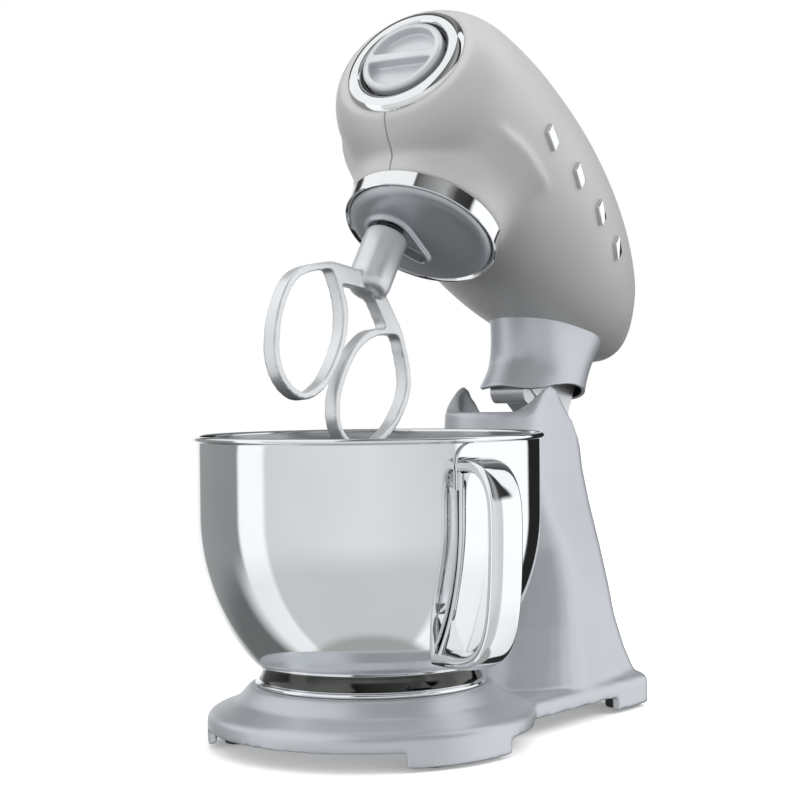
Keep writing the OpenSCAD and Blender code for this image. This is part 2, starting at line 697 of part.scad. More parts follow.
module speed_slot(wide) {
    translate([0, speed_y, speed_z]) rotate([-speed_slope, 0, 0])
        translate([-2.5 * wide, -8, -14]) cube([5 * wide, speed_travel + 16, 24]);
}

module speed_lever() {
    color(bright) on_head() translate([0, speed_y, speed_z]) rotate([-speed_slope, 0, 0]) {
        translate([-1.8, -3, -12]) cube([3.6, 6, 16]);
        translate([-6, -7, 1.4]) difference() {
            cube([12, 14, 9]);
            for (side = [0, 1]) translate([6, side * 14, 10.5]) along_x() translate([0, 0, -8])
                cylinder(r = 4, h = 16);
        }
    }
}

module speed_switch() {
    color(black) on_head() translate([0, speed_y, speed_z]) rotate([-speed_slope, 0, 0]) difference() {
        translate([-9, -8, -17]) cube([18, speed_travel + 16, 9]);
        translate([-2.5, -6, -13.5]) cube([5, speed_travel + 12, 10]);
    }
}

module dish_trim_ring() {
    color(bright) on_head() translate([0, 0, dish_z + 2.5]) rotate_extrude() polygon([
        [dish_r - 3, 0], [dish_r + 1, 0], [dish_r + 1.6, 5], [dish_r + 2.8, 10.5], [dish_r - 3, 10.5]
    ]);
}

module ring_gear() {
    color(steel) on_head() translate([0, 0, ring_z]) difference() {
        cylinder(r = ring_out_r, h = ring_h);
        translate([0, 0, -1]) linear_extrude(ring_h + 2)
            polygon(gear_points(ring_teeth, planet_module, 1.25 * planet_module, 0.9 * planet_module, -0.12));
    }
}

// ---- Motor, with its axis upright behind the gearbox ----

module motor_can() {
    color(steel) on_head() translate([0, motor_y, motor_z]) difference() {
        cylinder(r = motor_r, h = motor_h);
        translate([0, 0, 3]) cylinder(r = motor_r - 2, h = motor_h);
        translate([0, 0, -1]) cylinder(r = 8 + seat_gap, h = 10);
    }
}

module motor_stator() {
    color([0.45, 0.30, 0.20]) on_head() translate([0, motor_y, motor_z + 14])
        ring_bar(motor_r - 2 - seat_gap, 21, 26);
}

module motor_rotor() {
    color([0.55, 0.35, 0.22]) on_head() translate([0, motor_y, motor_z + 14]) difference() {
        cylinder(r = 20.4, h = 26);
        translate([0, 0, -1]) cylinder(r = 4 + fit / 2, h = 30);
        for (i = [0:11]) rotate(i * 30) translate([17, -1, -1]) cube([6, 2, 30]);
    }
}

module motor_shaft() {
    color(bright) on_head() translate([0, motor_y, pulley_z]) cylinder(r = 4, h = motor_z + motor_h + 3 - pulley_z);
}

module motor_fan() {
    color(black) on_head() translate([0, motor_y, motor_z + 43]) difference() {
        union() {
            cylinder(r = 8, h = 7);
            cylinder(r = 27, h = 1.5);
            for (i = [0:8]) rotate(i * 40) translate([7, -0.8, 0]) cube([20, 1.6, 7]);
        }
        translate([0, 0, -1]) cylinder(r = 4 + fit / 2, h = 20);
    }
}

module motor_end_cap() {
    color(steel) on_head() translate([0, motor_y, motor_z + motor_h + seat_gap]) difference() {
        cylinder(r = motor_r, h = 2);
        translate([0, 0, -1]) cylinder(r = 8 + seat_gap, h = 10);
        for (i = [0:7]) rotate(i * 45) translate([22, 0, -1]) cylinder(r = 5, h = 10);
    }
}

module bearing(bore, out, h) {
    ring_bar(out, bore + fit, h);
}

module motor_bearings() {
    color(bright) on_head() {
        translate([0, motor_y, motor_z + 0.2]) bearing(4, 8, 6);
        translate([0, motor_y, motor_z + motor_h - 3.5]) bearing(4, 8, 5.5);
    }
}

module motor_pulley() {
    color(bright) on_head() translate([0, motor_y, pulley_z]) rotate_extrude() polygon([
        [4 + fit / 2, 0], [motor_pulley_r + 3, 0], [motor_pulley_r + 3, 1], [motor_pulley_r, 1],
        [motor_pulley_r, pulley_h - 1], [motor_pulley_r + 3, pulley_h - 1], [motor_pulley_r + 3, pulley_h],
        [4 + fit / 2, pulley_h]
    ]);
}

// The belt's straight runs touch both pulleys' circles
module belt_outline(grow) {
    span = motor_y - counter_y;
    lean = asin((belt_r - motor_pulley_r) / span);
    big = belt_r + grow;
    small = motor_pulley_r + grow;
    polygon(concat(
        [for (i = [0:40]) let (a = 180 - lean + (180 + 2 * lean) * i / 40) [big * cos(a), big * sin(a) + counter_y]],
        [for (i = [0:16]) let (a = lean + (180 - 2 * lean) * i / 16) [small * cos(a), small * sin(a) + motor_y]]
    ));
}

module drive_belt() {
    color(black) on_head() translate([0, 0, pulley_z + 1.5]) linear_extrude(pulley_h - 3) difference() {
        belt_outline(0.3 + belt_t);
        belt_outline(0.3);
    }
}

module countershaft() {
    color(bright) on_head() translate([0, counter_y, plate_z - 5])
        cylinder(r = 5, h = pulley_z + pulley_h + 2 - plate_z + 5);
}

module belt_pulley() {
    color(steel) on_head() translate([0, counter_y, pulley_z]) difference() {
        rotate_extrude() polygon([
            [5 + fit / 2, 0], [belt_r + 3, 0], [belt_r + 3, 1], [belt_r, 1], [belt_r, pulley_h - 1],
            [belt_r + 3, pulley_h - 1], [belt_r + 3, pulley_h], [belt_r - 4, pulley_h], [belt_r - 4, 4],
            [11, 4], [11, pulley_h], [5 + fit / 2, pulley_h]
        ]);
        for (i = [0:4]) rotate(i * 72) translate([20, 0, -1]) cylinder(r = 6, h = 10);
    }
}

module pinion() {
    color(bright) on_head() translate([0, counter_y, gear_z - 1]) difference() {
        rotate(counter_angle) spur(pinion_teeth, drive_module, gear_h + 2);
        translate([0, 0, -1]) cylinder(r = 5 + fit / 2, h = 20);
    }
}

module counter_bearings() {
    color(bright) on_head() translate([0, counter_y, plate_z - 1]) bearing(5, 9, bearing_h);
}

module main_shaft() {
    low = dish_z + 14;
    color(bright) on_head() translate([0, 0, low]) cylinder(r = main_r, h = head_axis_z - bevel_r - low);
}

module main_gear() {
    color([0.85, 0.80, 0.65]) on_head() translate([0, 0, gear_z]) difference() {
        rotate(carrier_angle) spur(main_teeth, drive_module, gear_h);
        translate([0, 0, -1]) cylinder(r = main_r + fit / 2, h = 20);
        for (i = [0:5]) rotate(i * 60) translate([27, 0, -1]) cylinder(r = 9, h = 20);
    }
}

module mitre_gear() {
    linear_extrude(bevel_w, scale = (bevel_r - bevel_w) / bevel_r)
        polygon(gear_points(bevel_teeth, 2 * bevel_r / bevel_teeth, 0.8, 1.9, 0.5));
}

module main_bevel() {
    color(steel) on_head() translate([0, 0, head_axis_z - bevel_r]) rotate(carrier_angle) mitre_gear();
}

module main_bearings() {
    color(bright) on_head() translate([0, 0, ring_z + ring_h + 0.5]) bearing(main_r, main_r + 6, 9);
}

// Dish with its rounded edge and the sunk underside that the beater shaft comes out of
module planet_dish() {
    color(silver) on_head() difference() {
        union() {
            rotate_extrude() polygon([
                [0, dish_z + 6], [dish_r - 20, dish_z + 5], [dish_r - 8, dish_z + 2.4], [dish_r - 4, dish_z + 0.6],
                [dish_r - 2, dish_z], [dish_r - 0.6, dish_z + 0.4], [dish_r, dish_z + 1.4],
                [dish_r - 0.4, dish_z + 2], [dish_r - 4, dish_z + 2], [dish_r - 4, dish_z + 13.5], [0, dish_z + 13.5]
            ]);
            on_planet() translate([0, 0, dish_z + 2]) cylinder(r = shaft_r + 7, h = 8);
            rotate(carrier_angle) translate([-8, -6, dish_z + 2]) cube([offset_r + 6, 12, 6]);
        }
        on_planet() translate([0, 0, dish_z - 1]) cylinder(r = shaft_r + 4.4, h = 8);
        on_planet() translate([0, 0, dish_z - 1]) cylinder(r = shaft_r + fit, h = 40);
        translate([0, 0, dish_z + 13.5 - 3]) cylinder(r = main_r + fit / 2, h = 10);
    }
}

module dish_seal_ring() {
    color(black) on_head() translate([0, 0, dish_z + 3]) rotate_extrude()
        polygon([[dish_r - 4 + 0.05, 0], [dish_r - 3.3, 0], [dish_r - 3.3, 8], [dish_r - 4 + 0.05, 8]]);
}

module beater_shaft() {
    color(bright) on_head() on_planet() translate([0, 0, sleeve_base_z + 12])
        difference() {
            cylinder(r = shaft_r, h = ring_z + ring_h - sleeve_base_z - 12);
            translate([-15, 0, pin_rise]) along_x() cylinder(r = 2 + fit / 2, h = 30);
        }
}

pin_rise = 20;

module planet_gear() {
    color(steel) on_head() on_planet(0) translate([0, 0, ring_z]) difference() {
        rotate(carrier_angle + planet_angle) spur(planet_teeth, planet_module, ring_h - 1);
        translate([0, 0, -1]) cylinder(r = shaft_r + fit / 2, h = 20);
    }
}

module drive_pin() {
    color(bright) on_head() on_planet() translate([-9.5, 0, sleeve_base_z + 12 + pin_rise]) along_x()
        cylinder(r = 2, h = 19);
}

module sleeve_spring() {
    color(steel) on_head() on_planet() translate([0, 0, sleeve_top_z + 0.9]) coil(shaft_r + 2.4, 0.6, 4, 9.6);
}

// ---- Beater ----

// One loop, as a bent oval that narrows to its tip
function loop_points(inset) =
    let (mid = (beater_half_w + 4) / 2, half = (beater_half_w - 4) / 2 - inset)
    let (top = sleeve_base_z - 10 - inset, low = beater_tip_z + inset, c = (top + low) / 2, h = (top - low) / 2)
    [for (i = [0:47]) let (a = 360 * i / 48)
        [mid + half * cos(a) * (1 - 0.12 * sin(a) * sin(a) + 0.14 * sin(a)) + 5 * sin(a), c + h * sin(a)]];

module beater() {
    color([0.70, 0.71, 0.73]) on_head() on_planet() {
        difference() {
            union() {
                translate([0, 0, sleeve_base_z]) rotate_extrude() polygon([
                    [0, 0], [5, 0.6], [10, 3], [13, 6.5], [sleeve_d / 2, 12], [sleeve_d / 2, sleeve_h - 1.5],
                    [sleeve_d / 2 - 1.5, sleeve_h], [0, sleeve_h]
                ]);
                rotate(beater_angle) rotate([90, 0, 0]) translate([0, 0, -bar_w / 2]) linear_extrude(bar_w)
                    for (side = [0, 1]) mirror([side, 0]) {
                        difference() {
                            polygon(loop_points(0));
                            polygon(loop_points(bar_t));
                        }
                        polygon([[0, sleeve_base_z + 4], [10, sleeve_base_z + 12], [sleeve_d / 2, sleeve_base_z + 9],
                            [beater_half_w * 0.62, sleeve_base_z - 12], [beater_half_w * 0.72, sleeve_base_z - 22],
                            [beater_half_w * 0.55, sleeve_base_z - 16], [beater_half_w * 0.34, sleeve_base_z - 10.5]]);
                    }
            }
            translate([0, 0, sleeve_base_z + 11]) cylinder(r = shaft_r + fit, h = sleeve_h);
            translate([-10.5, -2.4, sleeve_base_z + 10 + pin_rise]) cube([21, 4.8, sleeve_h]);
        }
    }
}

// ---- Front power take-off ----

module power_shaft() {
    color(bright) on_head() translate([0, head_front_y + 14, head_axis_z]) along_y()
        cylinder(r = 6, h = -head_front_y - 14 - bevel_r);
}

module power_bevel() {
    color(steel) on_head() translate([0, -bevel_r, head_axis_z]) along_y() rotate(power_angle) mitre_gear();
}

module power_bearing() {
    color(bright) on_head() translate([0, -main_pitch_r - 9.8, head_axis_z]) along_y() bearing(6, 10, 6);
}

// ---- Tail ----

module vent_slots(grow) {
    for (i = [0:2]) let (u = 0.87 + 0.03 * i, z = head_axis_z + spline(head_shape, u, 2) * head_len)
        translate([-16 + 3 * i - grow, head_front_y + head_len * u - 1.5 - grow, z - 10])
            cube([32 - 6 * i + 2 * grow, 3 + 2 * grow, 22]);
}

module tail_grille() {
    color(black) on_head() difference() {
        intersection() {
            head_solid(shell_wall + seat_gap);
            translate([-22, head_front_y + head_len * 0.855, head_axis_z - 60]) cube([44, head_len * 0.085, 90]);
        }
        head_solid(shell_wall + 2);
        vent_slots(-0.6);
    }
}

module control_board() {
    color([0.1, 0.35, 0.2]) on_head() translate([-30, motor_y + motor_r + 6, head_axis_z - 14]) {
        cube([60, 1.6, 48]);
        for (i = [0:2]) translate([6 + 18 * i, 1.6 - eps, 8]) cube([12, 5, 10]);
    }
}

stand_casting();
base_plate();
rubber_feet();
base_screws();
bowl_lock_plate();
lock_plate_screws();
hinge_bushes();
cord_gland();
release_button();
latch_bar();
latch_spring();
latch_guide();
bowl();
bowl_foot_ring();
bowl_handle();
head_shell_left();
head_shell_right();
neck_collar();
hinge_arm();
hinge_pin();
gearbox_chassis();
chassis_screws();
front_ring();
hub_gap_ring();
hub_socket();
hub_cap();
side_pips();
dish_trim_ring();
ring_gear();
motor_can();
motor_stator();
motor_end_cap();
motor_bearings();
motor_rotor();
motor_shaft();
motor_fan();
motor_pulley();
drive_belt();
countershaft();
belt_pulley();
pinion();
counter_bearings();
main_shaft();
main_gear();
main_bevel();
main_bearings();
planet_dish();
dish_seal_ring();
beater_shaft();
planet_gear();
drive_pin();
sleeve_spring();
beater();
power_shaft();
power_bevel();
power_bearing();
speed_lever();
speed_switch();
control_board();
tail_grille();
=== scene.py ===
import json
import math
import bpy
import bmesh
from mathutils import Matrix, Vector


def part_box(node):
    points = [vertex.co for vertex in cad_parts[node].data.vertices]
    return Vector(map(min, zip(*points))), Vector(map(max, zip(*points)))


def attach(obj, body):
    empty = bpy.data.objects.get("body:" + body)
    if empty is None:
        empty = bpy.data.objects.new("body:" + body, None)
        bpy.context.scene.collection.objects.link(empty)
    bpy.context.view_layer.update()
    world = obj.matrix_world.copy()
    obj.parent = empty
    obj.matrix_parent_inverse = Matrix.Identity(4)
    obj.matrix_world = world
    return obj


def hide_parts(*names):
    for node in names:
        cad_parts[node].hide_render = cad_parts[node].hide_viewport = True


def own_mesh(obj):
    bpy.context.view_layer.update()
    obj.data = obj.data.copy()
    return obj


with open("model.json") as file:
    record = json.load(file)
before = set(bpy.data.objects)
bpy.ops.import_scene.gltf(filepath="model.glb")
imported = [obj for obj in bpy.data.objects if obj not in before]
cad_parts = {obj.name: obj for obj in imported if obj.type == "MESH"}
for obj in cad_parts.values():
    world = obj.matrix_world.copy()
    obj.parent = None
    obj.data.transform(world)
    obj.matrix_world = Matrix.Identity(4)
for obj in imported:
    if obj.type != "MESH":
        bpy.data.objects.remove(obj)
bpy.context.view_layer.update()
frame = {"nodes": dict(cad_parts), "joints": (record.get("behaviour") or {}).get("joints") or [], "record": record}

record = frame["record"]
nodes = frame["nodes"]
scene = bpy.context.scene
print("frame loaded:", len(nodes), "nodes")

# Pieces are drawn in millimetres as the mixer stands with its head shut; the head's pieces are then tilted up
joints = {joint["name"]: joint for joint in frame["joints"]}
hinge = Vector(joints["head_tilt"]["pos_m"])
tiltAngle = math.radians(joints["head_tilt"]["range_deg"][1])
standPlace = Matrix.Scale(0.001, 4)
headPlace = (Matrix.Translation(hinge) @ Matrix.Rotation(-tiltAngle, 4, "X")
             @ Matrix.Translation(-hinge) @ standPlace)
shaftAt = headPlace.inverted() @ Vector(joints["planet_spin"]["pos_m"])
shaftPlace = headPlace @ Matrix.Translation((shaftAt.x, shaftAt.y, 0))

headLength = 344
noseShare = 0.228  # how much of the head lies ahead of the bowl's axis
mixer = {
    "headLength": headLength, "headAxis": 300, "frontY": -headLength * noseShare, "sideSwell": 1.07,
    "bowlRadius": 112, "rimZ": 200, "seatZ": 40, "seamRadius": 70, "neckY": 187,
}


def startMaterial(name):
    material = bpy.data.materials.new(name)
    material.use_nodes = True
    tree = material.node_tree
    return material, tree, tree.nodes["Principled BSDF"]


def addNoise(tree, scale, detail=3.0, stretch=(1, 1, 1)):
    place = tree.nodes.new("ShaderNodeTexCoord")
    mapping = tree.nodes.new("ShaderNodeMapping")
    mapping.inputs["Scale"].default_value = stretch
    noise = tree.nodes.new("ShaderNodeTexNoise")
    noise.inputs["Scale"].default_value = scale
    noise.inputs["Detail"].default_value = detail
    tree.links.new(place.outputs["Object"], mapping.inputs["Vector"])
    tree.links.new(mapping.outputs["Vector"], noise.inputs["Vector"])
    return noise.outputs["Fac"]


def addRange(tree, source, low, high, start=0.3, end=0.7):
    ranged = tree.nodes.new("ShaderNodeMapRange")
    ranged.inputs["From Min"].default_value = start
    ranged.inputs["From Max"].default_value = end
    ranged.inputs["To Min"].default_value = low
    ranged.inputs["To Max"].default_value = high
    tree.links.new(source, ranged.inputs["Value"])
    return ranged.outputs["Result"]


def addColours(tree, source, dark, light, start=0.3, end=0.7):
    ramp = tree.nodes.new("ShaderNodeValToRGB")
    ramp.color_ramp.elements[0].position = start
    ramp.color_ramp.elements[0].color = (*dark, 1)
    ramp.color_ramp.elements[1].position = end
    ramp.color_ramp.elements[1].color = (*light, 1)
    tree.links.new(source, ramp.inputs["Fac"])
    return ramp.outputs["Color"]


def addBump(tree, shader, source, strength, depth):
    bump = tree.nodes.new("ShaderNodeBump")
    bump.inputs["Strength"].default_value = strength
    bump.inputs["Distance"].default_value = depth
    tree.links.new(source, bump.inputs["Height"])
    tree.links.new(bump.outputs["Normal"], shader.inputs["Normal"])
    return bump


# One finish: a colour that drifts between two shades, a fine grain in its gloss, and the grain's relief
def makeFinish(name, look):
    material, tree, shader = startMaterial(name)
    stretch = look.get("stretch", (1, 1, 1))
    drift = addNoise(tree, look["driftScale"], 2.0, look.get("driftStretch", (1, 1, 1)))
    grain = addNoise(tree, look["grainScale"], look.get("grainDetail", 4.0), stretch)
    tree.links.new(addColours(tree, drift, look["dark"], look["light"]), shader.inputs["Base Color"])
    tree.links.new(addRange(tree, grain, *look["rough"]), shader.inputs["Roughness"])
    addBump(tree, shader, grain, look["relief"], look["reliefDepth"])
    shader.inputs["Metallic"].default_value = look.get("metallic", 0.0)
    shader.inputs["Specular IOR Level"].default_value = look.get("specular", 0.5)
    shader.inputs["Coat Weight"].default_value = look.get("coat", 0.0)
    shader.inputs["Coat Roughness"].default_value = look.get("coatRough", 0.2)
    return material


finishes = {
    "castSilver": {"dark": (0.55, 0.57, 0.605), "light": (0.59, 0.61, 0.645), "driftScale": 14, "grainScale": 1600,
                   "rough": (0.37, 0.43), "relief": 0.025, "reliefDepth": 0.0001, "metallic": 0.7,
                   "coat": 0.1, "coatRough": 0.35},
    # painted shade: a near-black chrome that stands in for the dark reflection in the foot ring's hollow
    "paintedShadeChrome": {"dark": (0.05, 0.05, 0.048), "light": (0.11, 0.11, 0.105), "driftScale": 40,
                    "grainScale": 700, "rough": (0.06, 0.1), "relief": 0.01, "reliefDepth": 0.0001,
                    "metallic": 1.0},
    "headPaint": {"dark": (0.55, 0.55, 0.545), "light": (0.58, 0.58, 0.575), "driftScale": 10, "grainScale": 1100,
                  "rough": (0.42, 0.52), "relief": 0.3, "reliefDepth": 0.0003, "metallic": 0.3,
                  "coat": 0.05, "coatRough": 0.4},
    "polishedSteel": {"dark": (0.80, 0.815, 0.825), "light": (0.84, 0.85, 0.86), "driftScale": 20, "grainScale": 500,
                      "rough": (0.035, 0.06), "relief": 0.012, "reliefDepth": 0.0001, "metallic": 1.0},
    # brushed steel for the inside of the bowl, its colour darkened as painted shade for the dark reflection inside
    "bowlInsideBrushedAndShaded": {"dark": (0.30, 0.31, 0.32), "light": (0.38, 0.39, 0.40), "driftScale": 30, "grainScale": 900,
                   "rough": (0.16, 0.24), "relief": 0.05, "reliefDepth": 0.0001, "metallic": 1.0,
                   "stretch": (0.2, 0.2, 3)},
    "brightChrome": {"dark": (0.82, 0.825, 0.83), "light": (0.86, 0.865, 0.87), "driftScale": 60, "grainScale": 700,
                     "rough": (0.03, 0.055), "relief": 0.01, "reliefDepth": 0.0001, "metallic": 1.0},
    "capSilver": {"dark": (0.60, 0.615, 0.64), "light": (0.66, 0.675, 0.70), "driftScale": 40, "grainScale": 1500,
                  "rough": (0.30, 0.38), "relief": 0.06, "reliefDepth": 0.0001, "metallic": 0.4},
    "castAluminium": {"dark": (0.68, 0.695, 0.71), "light": (0.78, 0.795, 0.81), "driftScale": 30, "grainScale": 1300,
                      "rough": (0.30, 0.38), "relief": 0.06, "reliefDepth": 0.0001, "metallic": 0.6},
    "plainSteel": {"dark": (0.42, 0.43, 0.44), "light": (0.56, 0.57, 0.58), "driftScale": 60, "grainScale": 900,
                   "rough": (0.22, 0.36), "relief": 0.10, "reliefDepth": 0.0001, "metallic": 1.0,
                   "stretch": (1, 1, 8)},
    "springSteel": {"dark": (0.10, 0.10, 0.11), "light": (0.22, 0.22, 0.23), "driftScale": 80, "grainScale": 900,
                    "rough": (0.25, 0.38), "relief": 0.06, "reliefDepth": 0.0001, "metallic": 1.0},
    "motorCopper": {"dark": (0.24, 0.10, 0.05), "light": (0.42, 0.20, 0.10), "driftScale": 90, "grainScale": 400,
                    "rough": (0.3, 0.45), "relief": 0.6, "reliefDepth": 0.0005, "metallic": 0.8,
                    "stretch": (1, 1, 9)},
    "bronze": {"dark": (0.38, 0.25, 0.11), "light": (0.50, 0.34, 0.17), "driftScale": 60, "grainScale": 1200,
               "rough": (0.35, 0.5), "relief": 0.12, "reliefDepth": 0.0001, "metallic": 0.9},
    "blackRubber": {"dark": (0.012, 0.012, 0.013), "light": (0.022, 0.022, 0.023), "driftScale": 60,
                    "grainScale": 900, "rough": (0.6, 0.8), "relief": 0.3, "reliefDepth": 0.0002},
    "blackPlastic": {"dark": (0.010, 0.010, 0.011), "light": (0.018, 0.018, 0.020), "driftScale": 50,
                     "grainScale": 1400, "rough": (0.38, 0.52), "relief": 0.25, "reliefDepth": 0.0001},
    "gearNylon": {"dark": (0.56, 0.51, 0.38), "light": (0.64, 0.59, 0.46), "driftScale": 40, "grainScale": 800,
                  "rough": (0.4, 0.55), "relief": 0.1, "reliefDepth": 0.0001},
    "boardGreen": {"dark": (0.01, 0.07, 0.03), "light": (0.02, 0.11, 0.05), "driftScale": 200, "grainScale": 900,
                   "rough": (0.3, 0.45), "relief": 0.2, "reliefDepth": 0.0001, "driftStretch": (1, 8, 1)},
}
material = {name: makeFinish(name, look) for name, look in finishes.items()}
finishOfSlot = {
    "cast_silver": "castSilver", "head_paint": "headPaint", "polished_steel": "polishedSteel",
    "bright_chrome": "brightChrome", "cap_silver": "capSilver", "plain_steel": "plainSteel",
    "cast_aluminium": "castAluminium", "motor_copper": "motorCopper", "bronze": "bronze",
    "black_rubber": "blackRubber", "black_plastic": "blackPlastic", "gear_nylon": "gearNylon",
    "board_green": "boardGreen",
}
for part in record["subparts"]:
    mesh = nodes[part["node"]].data
    finish = material[finishOfSlot[part["material_slot"]]]
    if len(mesh.materials):
        for i in range(len(mesh.materials)):
            mesh.materials[i] = finish
    else:
        mesh.materials.append(finish)
print("materials made:", len(material))


# A smooth curve through the given points
def smoothPath(points, perSpan=6, closed=False):
    count = len(points)
    made = []
    for i in range(count if closed else count - 1):
        a, b, c, d = (Vector(points[k % count] if closed else points[min(max(k, 0), count - 1)])
                      for k in (i - 1, i, i + 1, i + 2))
        for j in range(perSpan):
            t = j / perSpan
            made.append(0.5 * (2 * b + (c - a) * t + (2 * a - 5 * b + 4 * c - d) * t * t
                               + (3 * b - a - 3 * c + d) * t ** 3))
    if not closed:
        made.append(Vector(points[-1]))
    return made


# Draws a new ring out of an open one, and gives the new ring's edges
def extrudeRing(bm, edges, move):
    made = bmesh.ops.extrude_edge_only(bm, edges=edges)["geom"]
    verts = [v for v in made if isinstance(v, bmesh.types.BMVert)]
    bmesh.ops.transform(bm, matrix=move, verts=verts)
    fresh = set(verts)
    return list({e for v in verts for e in v.link_edges if e.other_vert(v) in fresh})


# Turns a profile of radius and height round the vertical axis
def spinProfile(bm, points, steps=96, closed=True):
    verts = [bm.verts.new((r, 0, z)) for r, z in points]
    edges = [bm.edges.new(pair) for pair in zip(verts, verts[1:])]
    if closed:
        edges.append(bm.edges.new((verts[-1], verts[0])))
    bmesh.ops.spin(bm, geom=verts + edges, cent=(0, 0, 0), axis=(0, 0, 1), dvec=(0, 0, 0),
                   angle=2 * math.pi, steps=steps, use_merge=True)
    bmesh.ops.remove_doubles(bm, verts=bm.verts, dist=0.0005)
    bmesh.ops.recalc_face_normals(bm, faces=bm.faces)
    return bm


def addBox(bm, low, high):
    made = bmesh.ops.create_cube(bm, size=1)["verts"]
    size = Vector(high) - Vector(low)
    bmesh.ops.scale(bm, vec=size, verts=made)
    bmesh.ops.translate(bm, vec=(Vector(low) + Vector(high)) / 2, verts=made)


# Gives flat faces a thickness
def raiseFaces(bm, faces, move):
    top = bmesh.ops.extrude_face_region(bm, geom=faces)["geom"]
    bmesh.ops.translate(bm, vec=move, verts=[v for v in top if isinstance(v, bmesh.types.BMVert)])
    bmesh.ops.recalc_face_normals(bm, faces=bm.faces)


# Adds one bmesh to another and frees the added one
def joinInto(bm, added):
    mesh = bpy.data.meshes.new("joinWork")
    added.to_mesh(mesh)
    added.free()
    bm.from_mesh(mesh)
    bpy.data.meshes.remove(mesh)


def workObject(bm, name):
    mesh = bpy.data.meshes.new(name)
    bm.to_mesh(mesh)
    work = bpy.data.objects.new(name, mesh)
    scene.collection.objects.link(work)
    return work


# Puts a work object's shape, with its modifier applied, back into the bmesh
def takeBack(bm, work):
    made = bpy.data.meshes.new_from_object(work.evaluated_get(bpy.context.evaluated_depsgraph_get()))
    bpy.data.objects.remove(work)
    bm.clear()
    bm.from_mesh(made)
    bpy.data.meshes.remove(made)


def smoothVerts(bm, verts, passes):
    for i in range(passes):
        bmesh.ops.smooth_vert(bm, verts=verts, factor=0.5, use_axis_x=True, use_axis_y=True, use_axis_z=True)


# Rebuilds overlapping solids as one skin and rounds it
def fuseSkin(bm, voxel, passes):
    bmesh.ops.triangulate(bm, faces=bm.faces)
    work = workObject(bm, "skinWork")
    remesh = work.modifiers.new("skin", "REMESH")
    remesh.mode = "VOXEL"
    remesh.voxel_size = voxel
    takeBack(bm, work)
    smoothVerts(bm, bm.verts, passes)


# Cuts one solid out of another
def takeAway(bm, cutter):
    work, tool = workObject(bm, "cutWork"), workObject(cutter, "toolWork")
    cutter.free()
    boolean = work.modifiers.new("cut", "BOOLEAN")
    boolean.operation = "DIFFERENCE"
    boolean.solver = "EXACT"
    boolean.object = tool
    bpy.context.view_layer.update()
    takeBack(bm, work)
    bpy.data.objects.remove(tool)


# Cuts a clean rectangular window through the skin inside a box
def cutWindow(bm, low, high):
    near = [f for f in bm.faces if all(low[k] - 4 < f.calc_center_median()[k] < high[k] + 4 for k in range(3))]
    for axis, side in ((0, low[0]), (0, high[0]), (1, low[1]), (1, high[1])):
        geom = list({v for f in near for v in f.verts}) + list({e for f in near for e in f.edges}) + near
        normal = (1, 0, 0) if axis == 0 else (0, 1, 0)
        spot = tuple(side if k == axis else 0 for k in range(3))
        cut = bmesh.ops.bisect_plane(bm, geom=geom, dist=0.0001, plane_co=spot, plane_no=normal)
        near = [g for g in cut["geom"] if isinstance(g, bmesh.types.BMFace)]
    inside = [f for f in near if all(low[k] < f.calc_center_median()[k] < high[k] for k in range(3))]
    bmesh.ops.delete(bm, geom=inside, context="FACES")


def makePiece(name, bm, place, body, finish, replaced):
    bmesh.ops.transform(bm, matrix=place, verts=bm.verts)
    mesh = bpy.data.meshes.new(name)
    for face in bm.faces:
        face.smooth = True
    bm.to_mesh(mesh)
    bm.free()
    piece = bpy.data.objects.new(name, mesh)
    scene.collection.objects.link(piece)
    for each in (finish if isinstance(finish, (list, tuple)) else [finish]):
        mesh.materials.append(material[each])
    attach(piece, body)
    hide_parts(*replaced)
    return piece


def addBevel(piece, width, segments=3, angle=30):
    bevel = piece.modifiers.new("edgeRound", "BEVEL")
    bevel.width = width
    bevel.segments = segments
    bevel.limit_method = "ANGLE"
    bevel.angle_limit = math.radians(angle)
    return piece


# Walls an open skin on its inner side, in millimetres
def addWall(piece, thickness):
    wall = piece.modifiers.new("wall", "SOLIDIFY")
    wall.thickness = thickness * 0.001
    wall.offset = -1
    return wall


def markSharp(piece, angle=35):
    piece.data.set_sharp_from_angle(angle=math.radians(angle))
    return piece


headShell = {
    # distance along the head, top and bottom, as shares of the length
    "shape": [(0, 0.138, -0.138), (0.03, 0.164, -0.163), (0.08, 0.185, -0.184), (0.22, 0.210, -0.205),
              (0.42, 0.220, -0.203), (0.62, 0.203, -0.178), (0.8, 0.165, -0.125), (0.9, 0.122, -0.081),
              (0.96, 0.084, -0.046), (0.99, 0.049, -0.016), (1, 0.022, 0.010)],
    "boss": [(0, 225.2), (54, 225.2), (54, 227), (54.4, 232), (55.6, 238), (58, 245), (62, 252), (68, 260),
             (76, 270), (60, 285), (0, 285)],
    "voxel": 1.9, "smoothing": 14, "wall": 3.0, "seam": 0.45,
    "frontHole": {"radius": 37, "depth": 4}, "bossHole": {"radius": 49, "below": 228},
    "neckHole": {"halfWidth": 30, "halfDepth": 37, "below": 285},
    "grille": {"shares": [0.87, 0.90, 0.93], "halfWidths": [16, 13, 10], "halfGap": 1.5, "low": 255, "high": 300},
}


